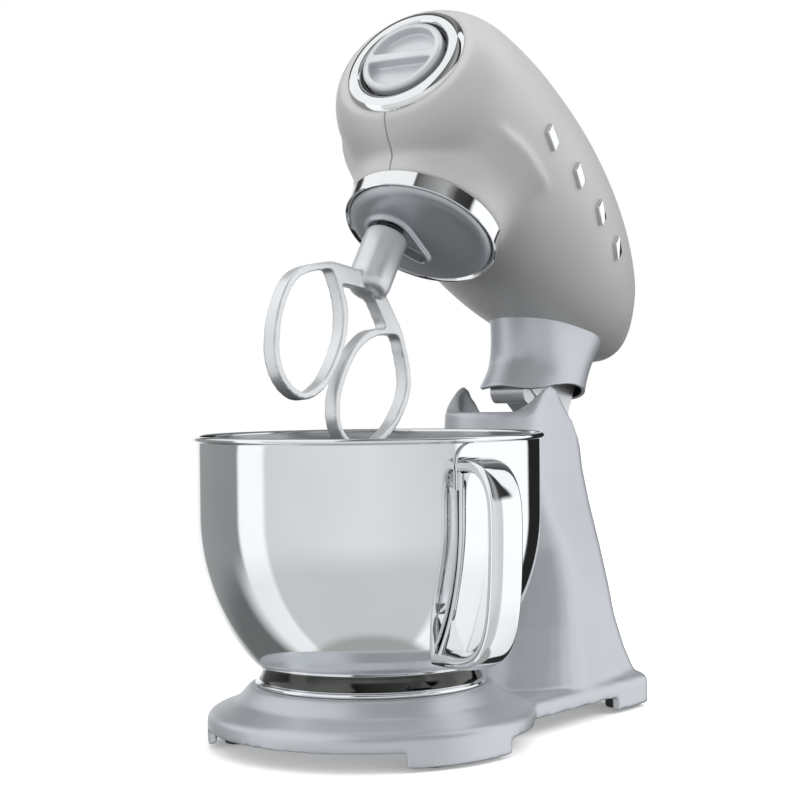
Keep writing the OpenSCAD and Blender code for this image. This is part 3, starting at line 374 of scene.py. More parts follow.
# The top (1) or bottom (2) line of the head at a share of its length
def headValue(u, k):
    shape = headShell["shape"]
    last = len(shape) - 1
    i = max(j for j in range(last) if shape[j][0] <= u)
    a, b, c, d = shape[max(i - 1, 0)], shape[i], shape[i + 1], shape[min(i + 2, last)]
    w = c[0] - b[0]
    t = (u - b[0]) / w
    mb = c[k] - b[k] if i == 0 else (c[k] - a[k]) / (c[0] - a[0]) * w
    mc = c[k] - b[k] if i == last - 1 else (d[k] - b[k]) / (d[0] - b[0]) * w
    return ((2 * t ** 3 - 3 * t ** 2 + 1) * b[k] + (t ** 3 - 2 * t ** 2 + t) * mb
            + (3 * t ** 2 - 2 * t ** 3) * c[k] + (t ** 3 - t ** 2) * mc)


# Centre height, half width and half height of the head's section at a distance along it
def headSection(y):
    u = min(max((y - mixer["frontY"]) / mixer["headLength"], 0), 1)
    top, bottom = headValue(u, 1) * mixer["headLength"], headValue(u, 2) * mixer["headLength"]
    half = max((top - bottom) / 2, 0.3)
    return mixer["headAxis"] + (top + bottom) / 2, half * mixer["sideSwell"], half


def headPlaceAt(y):
    z, halfWidth, halfHeight = headSection(y)
    return (Matrix.Translation((0, y, z)) @ Matrix.Rotation(math.radians(90), 4, "X")
            @ Matrix.Diagonal((halfWidth, halfHeight, 1, 1)))


def buildHead():
    bm = bmesh.new()
    shares = [0, 0.004, 0.012, 0.022, 0.035, 0.05, 0.07, 0.09] + [0.12 + 0.035 * i for i in range(20)]
    shares += [0.815, 0.84, 0.865, 0.89, 0.91, 0.93, 0.95, 0.965, 0.978, 0.988, 0.995, 1]
    stops = [mixer["frontY"] + mixer["headLength"] * u for u in shares]
    ring = bmesh.ops.create_circle(bm, cap_ends=False, segments=96, radius=1)["verts"]
    bmesh.ops.transform(bm, matrix=headPlaceAt(stops[0]), verts=ring)
    edges = list(bm.edges)
    for before, after in zip(stops, stops[1:]):
        edges = extrudeRing(bm, edges, headPlaceAt(after) @ headPlaceAt(before).inverted())
    bmesh.ops.holes_fill(bm, edges=[e for e in bm.edges if e.is_boundary], sides=200)
    bmesh.ops.recalc_face_normals(bm, faces=bm.faces)
    joinInto(bm, spinProfile(bmesh.new(), headShell["boss"], 96, closed=False))
    fuseSkin(bm, headShell["voxel"], headShell["smoothing"])
    front, boss, neck, grille = (headShell[k] for k in ("frontHole", "bossHole", "neckHole", "grille"))
    opened = []
    for face in bm.faces:
        c = face.calc_center_median()
        inFront = (c.y < mixer["frontY"] + front["depth"]
                   and math.hypot(c.x, c.z - mixer["headAxis"]) < front["radius"])
        inBoss = c.z < boss["below"] and math.hypot(c.x, c.y) < boss["radius"]
        inNeck = (c.z < neck["below"]
                  and math.hypot(c.x / neck["halfWidth"], (c.y - mixer["neckY"]) / neck["halfDepth"]) < 1)
        if inFront or inBoss or inNeck:
            opened.append(face)
    bmesh.ops.delete(bm, geom=opened, context="FACES")
    slot = speedLever["slot"]
    cutWindow(bm, (-slot["halfWidth"], slot["start"], slot["low"]),
              (slot["halfWidth"], slot["start"] + slot["length"], slot["high"]))
    for share, halfWidth in zip(grille["shares"], grille["halfWidths"]):
        y = mixer["frontY"] + mixer["headLength"] * share
        cutWindow(bm, (-halfWidth, y - grille["halfGap"], grille["low"]),
                  (halfWidth, y + grille["halfGap"], grille["high"]))
    for name, node, side in (("headShellLeft", "head_shell_left", -1), ("headShellRight", "head_shell_right", 1)):
        half = bm.copy()
        bmesh.ops.bisect_plane(half, geom=list(half.verts) + list(half.edges) + list(half.faces), dist=0.0001,
                               plane_co=(side * headShell["seam"], 0, 0), plane_no=(-side, 0, 0), clear_outer=True)
        addWall(makePiece(name, half, headPlace, "head", "headPaint", (node,)), headShell["wall"])
    bm.free()


leverY = mixer["frontY"] + mixer["headLength"] * 0.62
speedLever = {
    "y": leverY, "z": mixer["headAxis"] + mixer["headLength"] * 0.203, "slope": 9,
    "width": 12, "depth": 14, "height": 9, "gap": 1.4, "taper": (0.86, 0.62, 1), "round": 2.2,
    "stem": [(-1.8, -3, -12), (1.8, 3, 2.4)],
    "slot": {"start": leverY - 7, "length": 50, "halfWidth": 2.6, "low": 340, "high": 400},
}


def buildSpeedLever():
    bm = bmesh.new()
    middle = speedLever["gap"] + speedLever["height"] / 2
    bmesh.ops.create_cube(bm, size=1)
    bmesh.ops.scale(bm, vec=(speedLever["width"], speedLever["depth"], speedLever["height"]), verts=bm.verts)
    bmesh.ops.translate(bm, vec=(0, 0, middle), verts=bm.verts)
    bmesh.ops.scale(bm, vec=speedLever["taper"], verts=[v for v in bm.verts if v.co.z > middle])
    bmesh.ops.bevel(bm, geom=list(bm.edges), affect="EDGES", offset=speedLever["round"], segments=5, profile=0.5,
                    material=-1)
    addBox(bm, *speedLever["stem"])
    place = (headPlace @ Matrix.Translation((0, speedLever["y"], speedLever["z"]))
             @ Matrix.Rotation(-math.radians(speedLever["slope"]), 4, "X"))
    return markSharp(makePiece("speedLeverKnob", bm, place, "speed_lever", "brightChrome",
                               ("speed_lever",)))


buildHead()
buildSpeedLever()
print("head shells made")

frontHub = {
    "ring": [(33, -1.5), (33, 2.4), (33.5, 3.5), (34.8, 4.3), (36.8, 4.7), (39, 4.4), (41.2, 3.6), (43, 2.3),
             (44.1, 0.9), (44.4, -0.2), (44.2, -1.5)],
    "cap": [(0, 0), (28.5, 0), (30, 1.5), (30, 7), (29.5, 8.1), (28.3, 8.8), (26, 9.2), (0, 9.4)],
    "pocketRadius": 25, "pocketFloor": 2.2, "pocketDepth": 12, "grip": 3.6, "pocketCorner": 6.5,
    "voxel": 0.55, "smoothing": 7, "inset": 2,
}
frontPlace = (headPlace @ Matrix.Translation((0, mixer["frontY"], mixer["headAxis"]))
              @ Matrix.Rotation(math.radians(90), 4, "X"))


def buildFrontRing():
    bm = spinProfile(bmesh.new(), frontHub["ring"], 128)
    piece = makePiece("frontRingChrome", bm, frontPlace, "head", "brightChrome", ("front_ring",))
    return markSharp(piece, 50)


def buildHubCap():
    bm = spinProfile(bmesh.new(), frontHub["cap"], 96, closed=False)
    for side in (1, -1):  # a finger pocket on each side of the grip
        cut = bmesh.new()
        bmesh.ops.create_circle(cut, cap_ends=True, segments=72, radius=frontHub["pocketRadius"])
        bmesh.ops.bisect_plane(cut, geom=list(cut.verts) + list(cut.edges) + list(cut.faces), dist=0.0001,
                               plane_co=(0, side * frontHub["grip"], 0), plane_no=(0, -side, 0), clear_outer=True)
        corners = sorted(cut.verts, key=lambda v: abs(v.co.y))[:2]
        bmesh.ops.bevel(cut, geom=corners, affect="VERTICES", offset=frontHub["pocketCorner"], segments=8,
                        profile=0.5, material=-1)
        bmesh.ops.translate(cut, vec=(0, 0, frontHub["pocketFloor"]), verts=cut.verts)
        raiseFaces(cut, list(cut.faces), (0, 0, frontHub["pocketDepth"]))
        takeAway(bm, cut)
    fuseSkin(bm, frontHub["voxel"], frontHub["smoothing"])
    place = frontPlace @ Matrix.Translation((0, 0, -frontHub["inset"]))
    return makePiece("hubCapSilver", bm, place, "hub_cap", "capSilver", ("hub_cap",))


buildFrontRing()
buildHubCap()
print("front ring and cap made")

sidePip = {"shares": [0.235, 0.357, 0.479, 0.601], "rise": -5, "length": 15, "width": 8, "height": 2.4, "sunk": 2,
           "round": 0.9, "lean": 20}


# Plain lozenges stand in a row on each side of the head
def buildSidePips():
    bm = bmesh.new()
    for side in (-1, 1):
        for share in sidePip["shares"]:
            y = mixer["frontY"] + mixer["headLength"] * share
            z, halfWidth, halfHeight = headSection(y)
            rise = math.radians(sidePip["rise"])
            spot = Vector((side * halfWidth * math.cos(rise), y, z + halfHeight * math.sin(rise)))
            ahead = headSection(y + 4)
            behind = headSection(y - 4)
            along = Vector((side * (ahead[1] - behind[1]) * math.cos(rise), 8,
                            ahead[0] - behind[0] + (ahead[2] - behind[2]) * math.sin(rise))).normalized()
            around = Vector((-side * halfWidth * math.sin(rise), 0, halfHeight * math.cos(rise))).normalized()
            out = around.cross(along).normalized()
            if out.x * side < 0:
                out = -out
            made = bmesh.ops.create_cube(bm, size=1)["verts"]
            bmesh.ops.scale(bm, vec=(sidePip["width"], sidePip["length"], sidePip["height"] + sidePip["sunk"]),
                            verts=made)
            for v in made:  # leans the block into a lozenge
                v.co.x += v.co.y * math.tan(math.radians(sidePip["lean"]))
            edges = list({e for v in made for e in v.link_edges})
            made = bmesh.ops.bevel(bm, geom=edges, affect="EDGES", offset=sidePip["round"], segments=3,
                                   profile=0.5, material=-1)["verts"]
            turn = Matrix((around, along, out)).transposed().to_4x4()
            if turn.determinant() < 0:
                turn = Matrix((-around, along, out)).transposed().to_4x4()
            lift = (sidePip["height"] - sidePip["sunk"]) / 2
            bmesh.ops.transform(bm, matrix=Matrix.Translation(spot + out * lift) @ turn, verts=made)
    bmesh.ops.recalc_face_normals(bm, faces=bm.faces)
    return markSharp(makePiece("sidePips", bm, headPlace, "head", "brightChrome", ("side_pips",)))


buildSidePips()

dish = {
    "trim": [(49.5, 217.9), (52.4, 214.4), (53.2, 214), (53.7, 214.5), (53.9, 217), (54.1, 221), (54.4, 225),
             (53.8, 225.8), (47.5, 225.8), (47.5, 217.9)],
    "under": [(0, 213), (18, 212.8), (30, 212), (37, 211.2), (42, 211.1), (45.5, 211.6), (48.3, 212.7), (50.2, 214.3),
              (51, 216), (50.7, 217), (49.5, 217.4), (47, 217.5), (47, 225), (0, 225)],
    "lipRadius": 16.5, "lipEnd": (9, 29), "lipEndRadius": 7.5, "lipWall": 2.6, "lipLow": 208.8, "lipTop": 216,
    "voxel": 0.85, "smoothing": 5,
}


# The lip's outline: a big round about the shaft, drawn out to a small one
def teardropOutline(grow):
    ahead = Vector(dish["lipEnd"])
    span = ahead.length
    facing = math.atan2(ahead.y, ahead.x)
    big, small = dish["lipRadius"] + grow, dish["lipEndRadius"] + grow
    flare = math.acos((big - small) / span)
    points = []
    for i in range(33):
        a = facing + flare + (2 * math.pi - 2 * flare) * i / 32
        points.append((big * math.cos(a), big * math.sin(a)))
    for i in range(13):
        a = facing - flare + 2 * flare * i / 12
        points.append((ahead.x + small * math.cos(a), ahead.y + small * math.sin(a)))
    return points


def addTeardrop(bm, grow, low, high):
    verts = [bm.verts.new((shaftAt.x + x, shaftAt.y + y, low)) for x, y in teardropOutline(grow)]
    raiseFaces(bm, [bm.faces.new(verts)], (0, 0, high - low))


def buildDish():
    bm = spinProfile(bmesh.new(), dish["under"], 128, closed=False)
    fuseSkin(bm, dish["voxel"], 3)
    lip = bmesh.new()
    addTeardrop(lip, 0, dish["lipLow"], dish["lipTop"])
    joinInto(bm, lip)
    fuseSkin(bm, dish["voxel"], 2)
    well = bmesh.new()
    addTeardrop(well, -dish["lipWall"], dish["lipLow"] - 5, dish["lipTop"] + 1.5)
    takeAway(bm, well)
    fuseSkin(bm, dish["voxel"], dish["smoothing"])
    return makePiece("dishSilver", bm, headPlace, "carrier", "castSilver", ("planet_dish",))


def buildTrimBand():
    bm = spinProfile(bmesh.new(), dish["trim"], 128)
    piece = makePiece("trimBandChrome", bm, headPlace, "head", "brightChrome", ("dish_trim_ring",))
    return markSharp(piece, 40)


sleeveSpring = {"radius": 8.6, "wire": 0.75, "turns": 5.5, "low": 206.6, "high": 219.5}
latchSpring = {"radius": 4.6, "wire": 0.55, "turns": 6, "low": 0, "high": 22.5, "foot": (0, 200, 145), "kept": 0.78}


def buildSpring(name, look, place, body, node):
    bm = bmesh.new()
    made = bmesh.ops.create_circle(bm, cap_ends=True, segments=10, radius=look["wire"])["verts"]
    bmesh.ops.rotate(bm, matrix=Matrix.Rotation(math.radians(90), 3, "X"), verts=made, cent=(0, 0, 0))
    bmesh.ops.translate(bm, vec=(look["radius"], 0, look["low"]), verts=made)
    steps = int(look["turns"] * 28)
    rise = (look["high"] - look["low"]) / steps
    bmesh.ops.spin(bm, geom=list(bm.verts) + list(bm.edges) + list(bm.faces), cent=(0, 0, 0), axis=(0, 0, 1),
                   dvec=(0, 0, rise), angle=2 * math.pi * look["turns"], steps=steps, use_merge=False)
    bmesh.ops.recalc_face_normals(bm, faces=bm.faces)
    return makePiece(name, bm, place, body, "springSteel", (node,))


def buildLatchSpring():
    foot = Vector(latchSpring["foot"])
    place = standPlace @ Matrix.Translation(foot) @ Matrix.Rotation(math.radians(-90), 4, "X")
    spring = buildSpring("latchSpringCoil", latchSpring, place, "stand", "latch_spring")
    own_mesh(spring)


buildDish()
buildTrimBand()
buildSpring("sleeveSpringCoil", sleeveSpring, shaftPlace, "planet", "sleeve_spring")
buildLatchSpring()
print("dish made")

beater = {
    "angle": 82, "bar": 10, "stemTop": 168,
    "outer": [(13, 167), (38, 155.5), (48.5, 147), (57, 139), (63.5, 130.5), (67, 121.5), (68, 112), (67.5, 103),
              (66, 94), (63, 84), (59, 75), (53.5, 67), (46, 60.8), (37.5, 57.2), (28.5, 56.4), (20, 58.5),
              (13, 64), (7.6, 72.5), (4, 83), (2.6, 94), (2.6, 105), (4.4, 117), (8.8, 130), (15, 139),
              (24, 146.5), (18, 151), (8, 156), (0, 158)],
    "inner": [(38, 149), (30, 145), (21, 137.5), (14, 128), (9.6, 117), (7.8, 105), (7.8, 93.5), (9.3, 82.5),
              (12.6, 73.5), (17.2, 66.5), (22.8, 62.6), (29, 61.4), (36.2, 62.2), (43, 65.3), (49.5, 70.8),
              (54.4, 78), (58.2, 86.5), (61, 95), (62.4, 104), (62.9, 112), (61.9, 120.5), (58.8, 128.5),
              (52.8, 136.3), (45.5, 143.3)],
    "sleeve": [(0, 157.6), (7, 158), (11, 159.4), (13.6, 162), (14.8, 165.5), (15, 169), (15, 204.2), (14.6, 205.4),
               (13.6, 206), (6.2, 206), (6.2, 190), (0, 190)],
    "voxel": 0.8, "smoothing": 4,
}


def buildBeater():
    bm = bmesh.new()
    half, past = beater["bar"] / 2, 3  # the hole's cutter passes both faces
    for side in (1, -1):
        plate = bmesh.new()
        verts = [plate.verts.new((side * p.x, -half, p.y)) for p in smoothPath(beater["outer"], 4)]
        verts.append(plate.verts.new((0, -half, beater["stemTop"])))
        raiseFaces(plate, [plate.faces.new(verts)], (0, 2 * half, 0))
        bmesh.ops.triangulate(plate, faces=plate.faces)
        hole = bmesh.new()
        verts = [hole.verts.new((side * p.x, -half - past, p.y)) for p in smoothPath(beater["inner"], 4, closed=True)]
        raiseFaces(hole, [hole.faces.new(verts)], (0, 2 * (half + past), 0))
        bmesh.ops.triangulate(hole, faces=hole.faces)
        takeAway(plate, hole)
        joinInto(bm, plate)
    bmesh.ops.rotate(bm, matrix=Matrix.Rotation(math.radians(beater["angle"]), 3, "Z"), verts=bm.verts,
                     cent=(0, 0, 0))
    joinInto(bm, spinProfile(bmesh.new(), beater["sleeve"], 72, closed=False))
    fuseSkin(bm, beater["voxel"], beater["smoothing"])
    return makePiece("beaterCast", bm, shaftPlace, "beater", "castAluminium", ("beater",))


buildBeater()
print("beater made")

collar = {
    "halfWidth": 34.2, "halfDepth": 42.7, "levels": 16, "wall": 2.6, "flareFrom": 212, "flare": 0.2,
    "waist": 0.9, "waistAt": 0.45, "waistCurve": 7.6, "tuck": 2, "edge": 0.8,
    "low": [(140, 188), (147, 188.6), (153, 191.4), (160, 197.5), (167, 204.5), (176, 211.5), (187, 218.5),
            (199, 224), (211, 228.6), (230, 233.5), (240, 234.5)],
}


# The collar's lower edge rises from front to rear
def collarLow(y):
    rows = collar["low"]
    for (ya, za), (yb, zb) in zip(rows, rows[1:]):
        if y <= yb:
            t = max((y - ya) / (yb - ya), 0)
            return za + (zb - za) * t
    return rows[-1][1]


def buildCollar():
    bm = bmesh.new()
    bmesh.ops.create_circle(bm, cap_ends=False, segments=128, radius=1)
    edges = list(bm.edges)
    for i in range(collar["levels"]):
        edges = extrudeRing(bm, edges, Matrix.Translation((0, 0, 1)))
    for v in bm.verts:
        share = v.co.z / collar["levels"]
        angle = math.atan2(v.co.y, v.co.x)
        swell = collar["waistCurve"] * (share - collar["waistAt"]) ** 2 - collar["waist"]
        x = (collar["halfWidth"] + swell) * math.cos(angle)
        y = mixer["neckY"] + (collar["halfDepth"] + swell) * math.sin(angle)
        middle, halfWidth, halfHeight = headSection(y)
        top = middle - halfHeight * math.sqrt(max(1 - (x / halfWidth) ** 2, 0)) + collar["tuck"]
        low = collarLow(mixer["neckY"] + collar["halfDepth"] * math.sin(angle))
        z = low + (top - low) * share
        lean = max(-math.sin(angle), 0) * max(z - collar["flareFrom"], 0) ** 1.35 * collar["flare"]
        v.co = (x, y - lean, z)
    bmesh.ops.recalc_face_normals(bm, faces=bm.faces)
    piece = makePiece("neckCollarSilver", bm, headPlace, "head", ["castSilver", "blackPlastic"],
                      ("neck_collar",))
    wall = addWall(piece, collar["wall"])
    wall.material_offset = 1
    wall.material_offset_rim = 0
    return addBevel(piece, collar["edge"] * 0.001, 3, 50)


buildCollar()
print("collar made")

stand = {"voxel": 1.5, "smoothing": 5, "keep": 0.45, "cheekFrom": 206, "cheekSmoothing": 8}


def buildStand():
    bm = bmesh.new()
    bm.from_mesh(nodes["stand_casting"].data)
    bmesh.ops.scale(bm, vec=(1000, 1000, 1000), verts=bm.verts)
    bmesh.ops.remove_doubles(bm, verts=bm.verts, dist=0.001)
    fuseSkin(bm, stand["voxel"], stand["smoothing"])
    smoothVerts(bm, [v for v in bm.verts if v.co.z > stand["cheekFrom"]], stand["cheekSmoothing"])
    piece = makePiece("standCasting", bm, standPlace, "stand", "castSilver", ("stand_casting",))
    thin = piece.modifiers.new("thin", "DECIMATE")
    thin.ratio = stand["keep"]
    return piece


buildStand()
print("stand made")

rubberFoot = {"profile": [(0, 0), (8.6, 0), (9.4, 0.8), (10.2, 11.2), (0, 12.2)],
              "spots": [(-74.9, -44.94), (74.9, -44.94), (-78, 200), (78, 200)]}


def buildFeet():
    bm = bmesh.new()
    for x, y in rubberFoot["spots"]:
        foot = spinProfile(bmesh.new(), rubberFoot["profile"], 48, closed=False)
        bmesh.ops.translate(foot, vec=(x, y, 0), verts=foot.verts)
        joinInto(bm, foot)
    return markSharp(makePiece("rubberFeetPads", bm, standPlace, "stand", "blackRubber",
                               ("rubber_feet",)), 40)


buildFeet()

releaseButton = {"profile": [(0, 0), (9, 0), (9, 10.6), (8.6, 11.8), (7.6, 12.5), (6.2, 12.5), (5.2, 11.9),
                             (3.5, 11.3), (0, 11.1)]}


def buildReleaseButton():
    bottom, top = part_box("release_button")
    centre = (bottom + top) / 2 * 1000
    bm = spinProfile(bmesh.new(), releaseButton["profile"], 64, closed=False)
    place = (standPlace @ Matrix.Translation((centre.x, bottom.y * 1000, centre.z))
             @ Matrix.Rotation(math.radians(-90), 4, "X"))
    return markSharp(makePiece("releaseButtonChrome", bm, place, "release", "brightChrome",
                               ("release_button",)), 50)


buildReleaseButton()
print("feet and button made")

bowl = {
    "sheet": 1.2, "rimBead": 1.9, "beadOut": 1.1, "steps": 160, "levels": 40, "wallLow": 52, "wallTop": 150,
    "straight": [165, 180, 192, 197.6], "under": [(0, 51.6), (40, 51.6), (60, 51.6), (67, 51.7)],
    "floor": [(66, 53.4), (60, 53), (40, 52.9), (0, 52.9)],
}


# The wall's outer radius at a height
def bowlWall(z):
    low, high = mixer["seatZ"] + 10, mixer["rimZ"] - 50
    u = min(max((z - low) / (high - low), 0), 1)
    return mixer["seamRadius"] + (mixer["bowlRadius"] - mixer["seamRadius"]) * (1 - (1 - u) ** 2) ** 0.8


def buildBowl():
    low, top, levels = bowl["wallLow"], bowl["wallTop"], bowl["levels"]
    heights = [low + (top - low) * (i / levels) ** 1.3 for i in range(levels + 1)] + bowl["straight"]
    outer = [(bowlWall(z), z) for z in heights]
    centre, bead = mixer["bowlRadius"] + bowl["beadOut"], []
    for turn in range(-120, 181, 20):
        a = math.radians(turn)
        bead.append((centre + bowl["rimBead"] * math.cos(a), mixer["rimZ"] + bowl["rimBead"] * math.sin(a)))
    inner = [(r - bowl["sheet"], z) for r, z in reversed(outer) if z > 55]
    points = bowl["under"] + outer + bead + inner + bowl["floor"]
    bm = spinProfile(bmesh.new(), points, bowl["steps"], closed=False)
    # the inner wall takes the second finish: brushed steel darkened as painted shade
    for face in bm.faces:
        c = face.calc_center_median()
        if c.z > 52.4 and math.hypot(c.x, c.y) < bowlWall(c.z) - 0.7 and c.z < mixer["rimZ"] - 1:
            face.material_index = 1
    return makePiece("bowlPolished", bm, standPlace, "bowl", ["polishedSteel", "bowlInsideBrushedAndShaded"],
                     ("bowl",))


footRing = {"profile": [(68, 51.4), (67.6, 49), (69.5, 45.5), (72, 42.4), (72, 40.15), (75, 40.15), (75.5, 40.7),
                        (75.6, 41.6), (75.1, 42.5), (74, 42.9), (73, 43.5), (71.6, 46.5), (70.6, 49.5), (70.4, 51.4)],
            "paintedShadeLow": 43.4, "paintedShadeTop": 51}


# The faces in the hollow between ring and bowl get painted shade: a near-black chrome in place of their dark
# reflection
def buildFootRing():
    bm = spinProfile(bmesh.new(), footRing["profile"], 128)
    for face in bm.faces:
        if footRing["paintedShadeLow"] < face.calc_center_median().z < footRing["paintedShadeTop"]:
            face.material_index = 1  # painted shade: the hollow between ring and bowl takes a near-black chrome that stands in for its dark reflection
    return markSharp(makePiece("bowlFootChrome", bm, standPlace, "bowl",
                               ["polishedSteel", "paintedShadeChrome"], ("bowl_foot_ring",)), 50)


handle = {
    "angle": -22, "width": 23, "thickness": 9.5,
    "strap": [(112, 184), (119, 184.9), (127, 184.3), (134.5, 181.3), (140.6, 175.4), (144.6, 166.8), (146.2, 155),
              (146.2, 136), (145, 114), (142.6, 96), (138.6, 83), (131.8, 73.2), (122, 67.2), (111, 64.8),
              (99, 64.6), (84, 64.6)],
    "inner": [(180, 3.2), (174, 3), (160, 2.6), (140, 2.4), (120, 2.4), (100, 2.6), (84, 3), (72, 3.4), (66, 3.6)],
    "flangeWidth": 20.5, "flangeThickness": 3.4,
    "tabTop": 198, "tabLow": 170, "tabThickness": 1.7, "tabSteps": 14, "tabOut": 0.9,
}


# A strap with a rounded section, drawn along a path in the plane through the bowl's axis
def sweepStrap(bm, path, widths, thicknesses, square=0.62):
    count = len(path)

    def placeAt(i):
        ahead = (path[min(i + 1, count - 1)] - path[max(i - 1, 0)]).normalized()
        tangent = Vector((ahead.x, 0, ahead.y))
        side = Vector((0, 1, 0))
        normal = tangent.cross(side)
        turn = Matrix((side, normal, tangent)).transposed().to_4x4()
        return (Matrix.Translation((path[i].x, 0, path[i].y)) @ turn
                @ Matrix.Diagonal((widths[i] / 2, thicknesses[i] / 2, 1, 1)))

    ring = bmesh.ops.create_circle(bm, cap_ends=False, segments=40, radius=1)["verts"]
    for v in ring:  # squares the circle off into a strap's section
        v.co.x = math.copysign(abs(v.co.x) ** square, v.co.x)
        v.co.y = math.copysign(abs(v.co.y) ** square, v.co.y)
    edges = list({e for v in ring for e in v.link_edges})
    first = edges
    bmesh.ops.transform(bm, matrix=placeAt(0), verts=ring)
    for i in range(1, count):
        edges = extrudeRing(bm, edges, placeAt(i) @ placeAt(i - 1).inverted())
    for loop in (first, edges):
        bmesh.ops.holes_fill(bm, edges=loop, sides=0)


def buildHandle():
    bm = bmesh.new()
    path = smoothPath(handle["strap"], 6)
    sweepStrap(bm, path, [handle["width"]] * len(path), [handle["thickness"]] * len(path), 0.68)
    heights = [(bowlWall(z) + out, z) for z, out in handle["inner"]]
    path = smoothPath(heights, 5)
    sweepStrap(bm, path, [handle["flangeWidth"]] * len(path), [handle["flangeThickness"]] * len(path), 0.4)
    steps = handle["tabSteps"]
    radius = handle["width"] / 2
    path, widths = [], []
    for i in range(steps + 1):
        z = handle["tabTop"] - 0.3 - (handle["tabTop"] - handle["tabLow"]) * (i / steps) ** 1.6
        drop = handle["tabTop"] - z
        path.append(Vector((bowlWall(z) + handle["tabOut"], z)))
        widths.append(2 * math.sqrt(max(radius ** 2 - max(radius - drop, 0) ** 2, 0.3)))
    sweepStrap(bm, path, widths, [handle["tabThickness"]] * len(path), 0.35)
    bmesh.ops.recalc_face_normals(bm, faces=bm.faces)
    place = standPlace @ Matrix.Rotation(math.radians(handle["angle"]), 4, "Z")
    piece = makePiece("bowlHandleStrap", bm, place, "bowl", "polishedSteel", ("bowl_handle",))
    return markSharp(piece, 60)


buildBowl()
buildFootRing()
buildHandle()
print("bowl made")

studio = {"floorRadius": 6.0, "floorShade": (0.9, 0.9, 0.9), "floorGlow": 0.2}


def buildFloor():
    bm = bmesh.new()
    bmesh.ops.create_circle(bm, cap_ends=True, segments=96, radius=studio["floorRadius"])
    mesh = bpy.data.meshes.new("studioFloor")
    bm.to_mesh(mesh)
    bm.free()
    floor = bpy.data.objects.new("studioFloor", mesh)
    scene.collection.objects.link(floor)
    surface, tree, shader = startMaterial("floorPale")
    shader.inputs["Base Color"].default_value = (*studio["floorShade"], 1)
    shader.inputs["Roughness"].default_value = 0.9
    shader.inputs["Specular IOR Level"].default_value = 0.0
    mesh.materials.append(surface)
    shader.inputs["Emission Color"].default_value = (1, 1, 1, 1)
    shader.inputs["Emission Strength"].default_value = studio["floorGlow"]
    floor.visible_glossy = False
    floor.visible_diffuse = False


# Azimuth from the viewer's side, brightness: what the polished pieces see around them
surround = {
    "facing": -55.4,
    "low": [(-180, 0.16), (-110, 0.16), (-95, 0.95), (-74, 1.0), (-71, 0.66), (52, 0.66), (61, 1.1), (130, 0.9),
            (133, 0.02), (166, 0.04), (180, 0.16)],
    "level": [(-180, 1.05), (-154, 1.0), (-150, 0.34), (-97, 0.30), (-94, 1.15), (-74, 1.15), (-71, 0.76), (0, 0.86),
              (52, 0.74), (58, 0.70), (61, 1.2), (130, 1.2), (133, 0.02), (166, 0.02), (169, 1.1), (180, 1.05)],
    "high": [(-180, 0.3), (-150, 0.05), (-141, 0.05), (-136, 1.05), (-24, 1.0), (-20, 0.10), (40, 0.45),
             (55, 0.06), (75, 0.03), (79, 1.1), (122, 1.1), (127, 0.06), (180, 0.3)],
    "floor": 0.42, "dome": 1.2, "domeLow": 0.22,
}


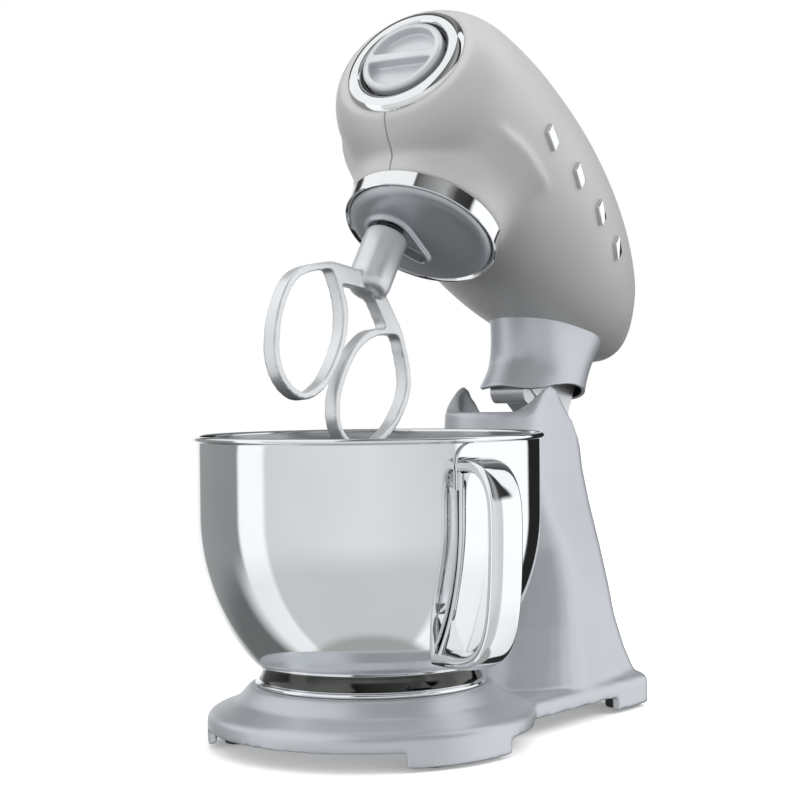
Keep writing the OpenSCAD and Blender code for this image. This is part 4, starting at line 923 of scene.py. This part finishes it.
def buildSurround():
    world = bpy.data.worlds.new("studioSurround")
    scene.world = world
    world.use_nodes = True
    tree = world.node_tree
    tree.nodes.clear()
    place = tree.nodes.new("ShaderNodeTexCoord")
    parts = tree.nodes.new("ShaderNodeSeparateXYZ")
    tree.links.new(place.outputs["Generated"], parts.inputs[0])

    def calculate(operation, first, second=None):
        node = tree.nodes.new("ShaderNodeMath")
        node.operation = operation
        for socket, value in zip(node.inputs, (first, second)):
            if value is None:
                continue
            if isinstance(value, (int, float)):
                socket.default_value = value
            else:
                tree.links.new(value, socket)
        return node.outputs[0]

    angle = calculate("ARCTAN2", parts.outputs["Y"], parts.outputs["X"])
    turned = calculate("ADD", calculate("DIVIDE", angle, 2 * math.pi), 0.5 - surround["facing"] / 360)
    share = calculate("FRACT", turned)

    def bandsAround(rows):
        ramp = tree.nodes.new("ShaderNodeValToRGB")
        stops = ramp.color_ramp.elements
        while len(stops) < len(rows):
            stops.new(0.5)
        for stop, row in zip(stops, rows):  # all places first, because a moved stop can change its order
            stop.position = (row[0] + 180) / 360
        for stop, row in zip(stops, rows):
            stop.color = (row[1] * 0.985, row[1], row[1] * 1.01, 1)
        tree.links.new(share, ramp.inputs["Fac"])
        return ramp.outputs["Color"]

    def blend(amount, first, second):
        node = tree.nodes.new("ShaderNodeMix")
        node.data_type = "RGBA"
        tree.links.new(amount, node.inputs[0])
        for socket, value in ((node.inputs[6], first), (node.inputs[7], second)):
            if isinstance(value, (int, float)):
                socket.default_value = (value, value, value, 1)
            else:
                tree.links.new(value, socket)
        return node.outputs[2]

    def rise(low, high):
        node = tree.nodes.new("ShaderNodeMapRange")
        node.interpolation_type = "SMOOTHSTEP"
        node.inputs["From Min"].default_value = low
        node.inputs["From Max"].default_value = high
        tree.links.new(parts.outputs["Z"], node.inputs["Value"])
        return node.outputs["Result"]

    seen = blend(rise(-0.5, -0.2), bandsAround(surround["low"]), bandsAround(surround["level"]))
    seen = blend(rise(-0.91, -0.86), surround["floor"], seen)
    seen = blend(rise(0.22, 0.36), seen, bandsAround(surround["high"]))
    dome = blend(rise(-0.5, 0.6), surround["domeLow"], surround["dome"])
    path = tree.nodes.new("ShaderNodeLightPath")
    shade = blend(path.outputs["Is Diffuse Ray"], seen, dome)
    shade = blend(path.outputs["Is Camera Ray"], shade, 1.0)
    background = tree.nodes.new("ShaderNodeBackground")
    tree.links.new(shade, background.inputs["Color"])
    output = tree.nodes.new("ShaderNodeOutputWorld")
    tree.links.new(background.outputs[0], output.inputs["Surface"])


lampTarget = Vector((0, 0.05, 0.25))
lamps = {
    "keyRight": {"at": (1.5, 0.9, 1.5), "size": 1.2, "power": 16},
    "overhead": {"at": (-0.1, 0.2, 2.0), "size": 1.4, "power": 9},
    "lowLeft": {"at": (-0.9, -1.9, 0.35), "size": 0.9, "power": 12},
}


def buildLamps():
    for name, look in lamps.items():
        data = bpy.data.lights.new(name, "AREA")
        data.shape = "DISK"
        data.size = look["size"]
        data.energy = look["power"]
        lamp = bpy.data.objects.new(name, data)
        scene.collection.objects.link(lamp)
        lamp.location = look["at"]
        lamp.rotation_mode = "QUATERNION"
        lamp.rotation_quaternion = (lampTarget - Vector(look["at"])).to_track_quat("-Z", "Y")
        lamp.visible_glossy = False


# Turn in degrees, dip and roll in radians, lens in millimetres
camera = {"at": (0.7061, -1.0223, 0.2362), "turn": 33.66, "dip": 0.0103, "roll": -0.0122, "lens": 85.51}


def buildCamera():
    turn, dip = math.radians(camera["turn"]), camera["dip"]
    forward = Vector((-math.sin(turn) * math.cos(dip), math.cos(turn) * math.cos(dip), -math.sin(dip)))
    right = forward.cross(Vector((0, 0, 1))).normalized()
    up = right.cross(forward)
    data = bpy.data.cameras.new("viewCamera")
    data.lens = camera["lens"]
    data.sensor_width = 36
    data.clip_start = 0.01
    viewer = bpy.data.objects.new("viewCamera", data)
    scene.collection.objects.link(viewer)
    frameTurn = Matrix((right, up, -forward)).transposed().to_4x4()
    viewer.matrix_world = Matrix.Translation(camera["at"]) @ frameTurn @ Matrix.Rotation(camera["roll"], 4, "Z")
    scene.camera = viewer


buildFloor()
buildSurround()
buildLamps()
buildCamera()
scene.view_settings.view_transform = "Standard"
print("studio made")
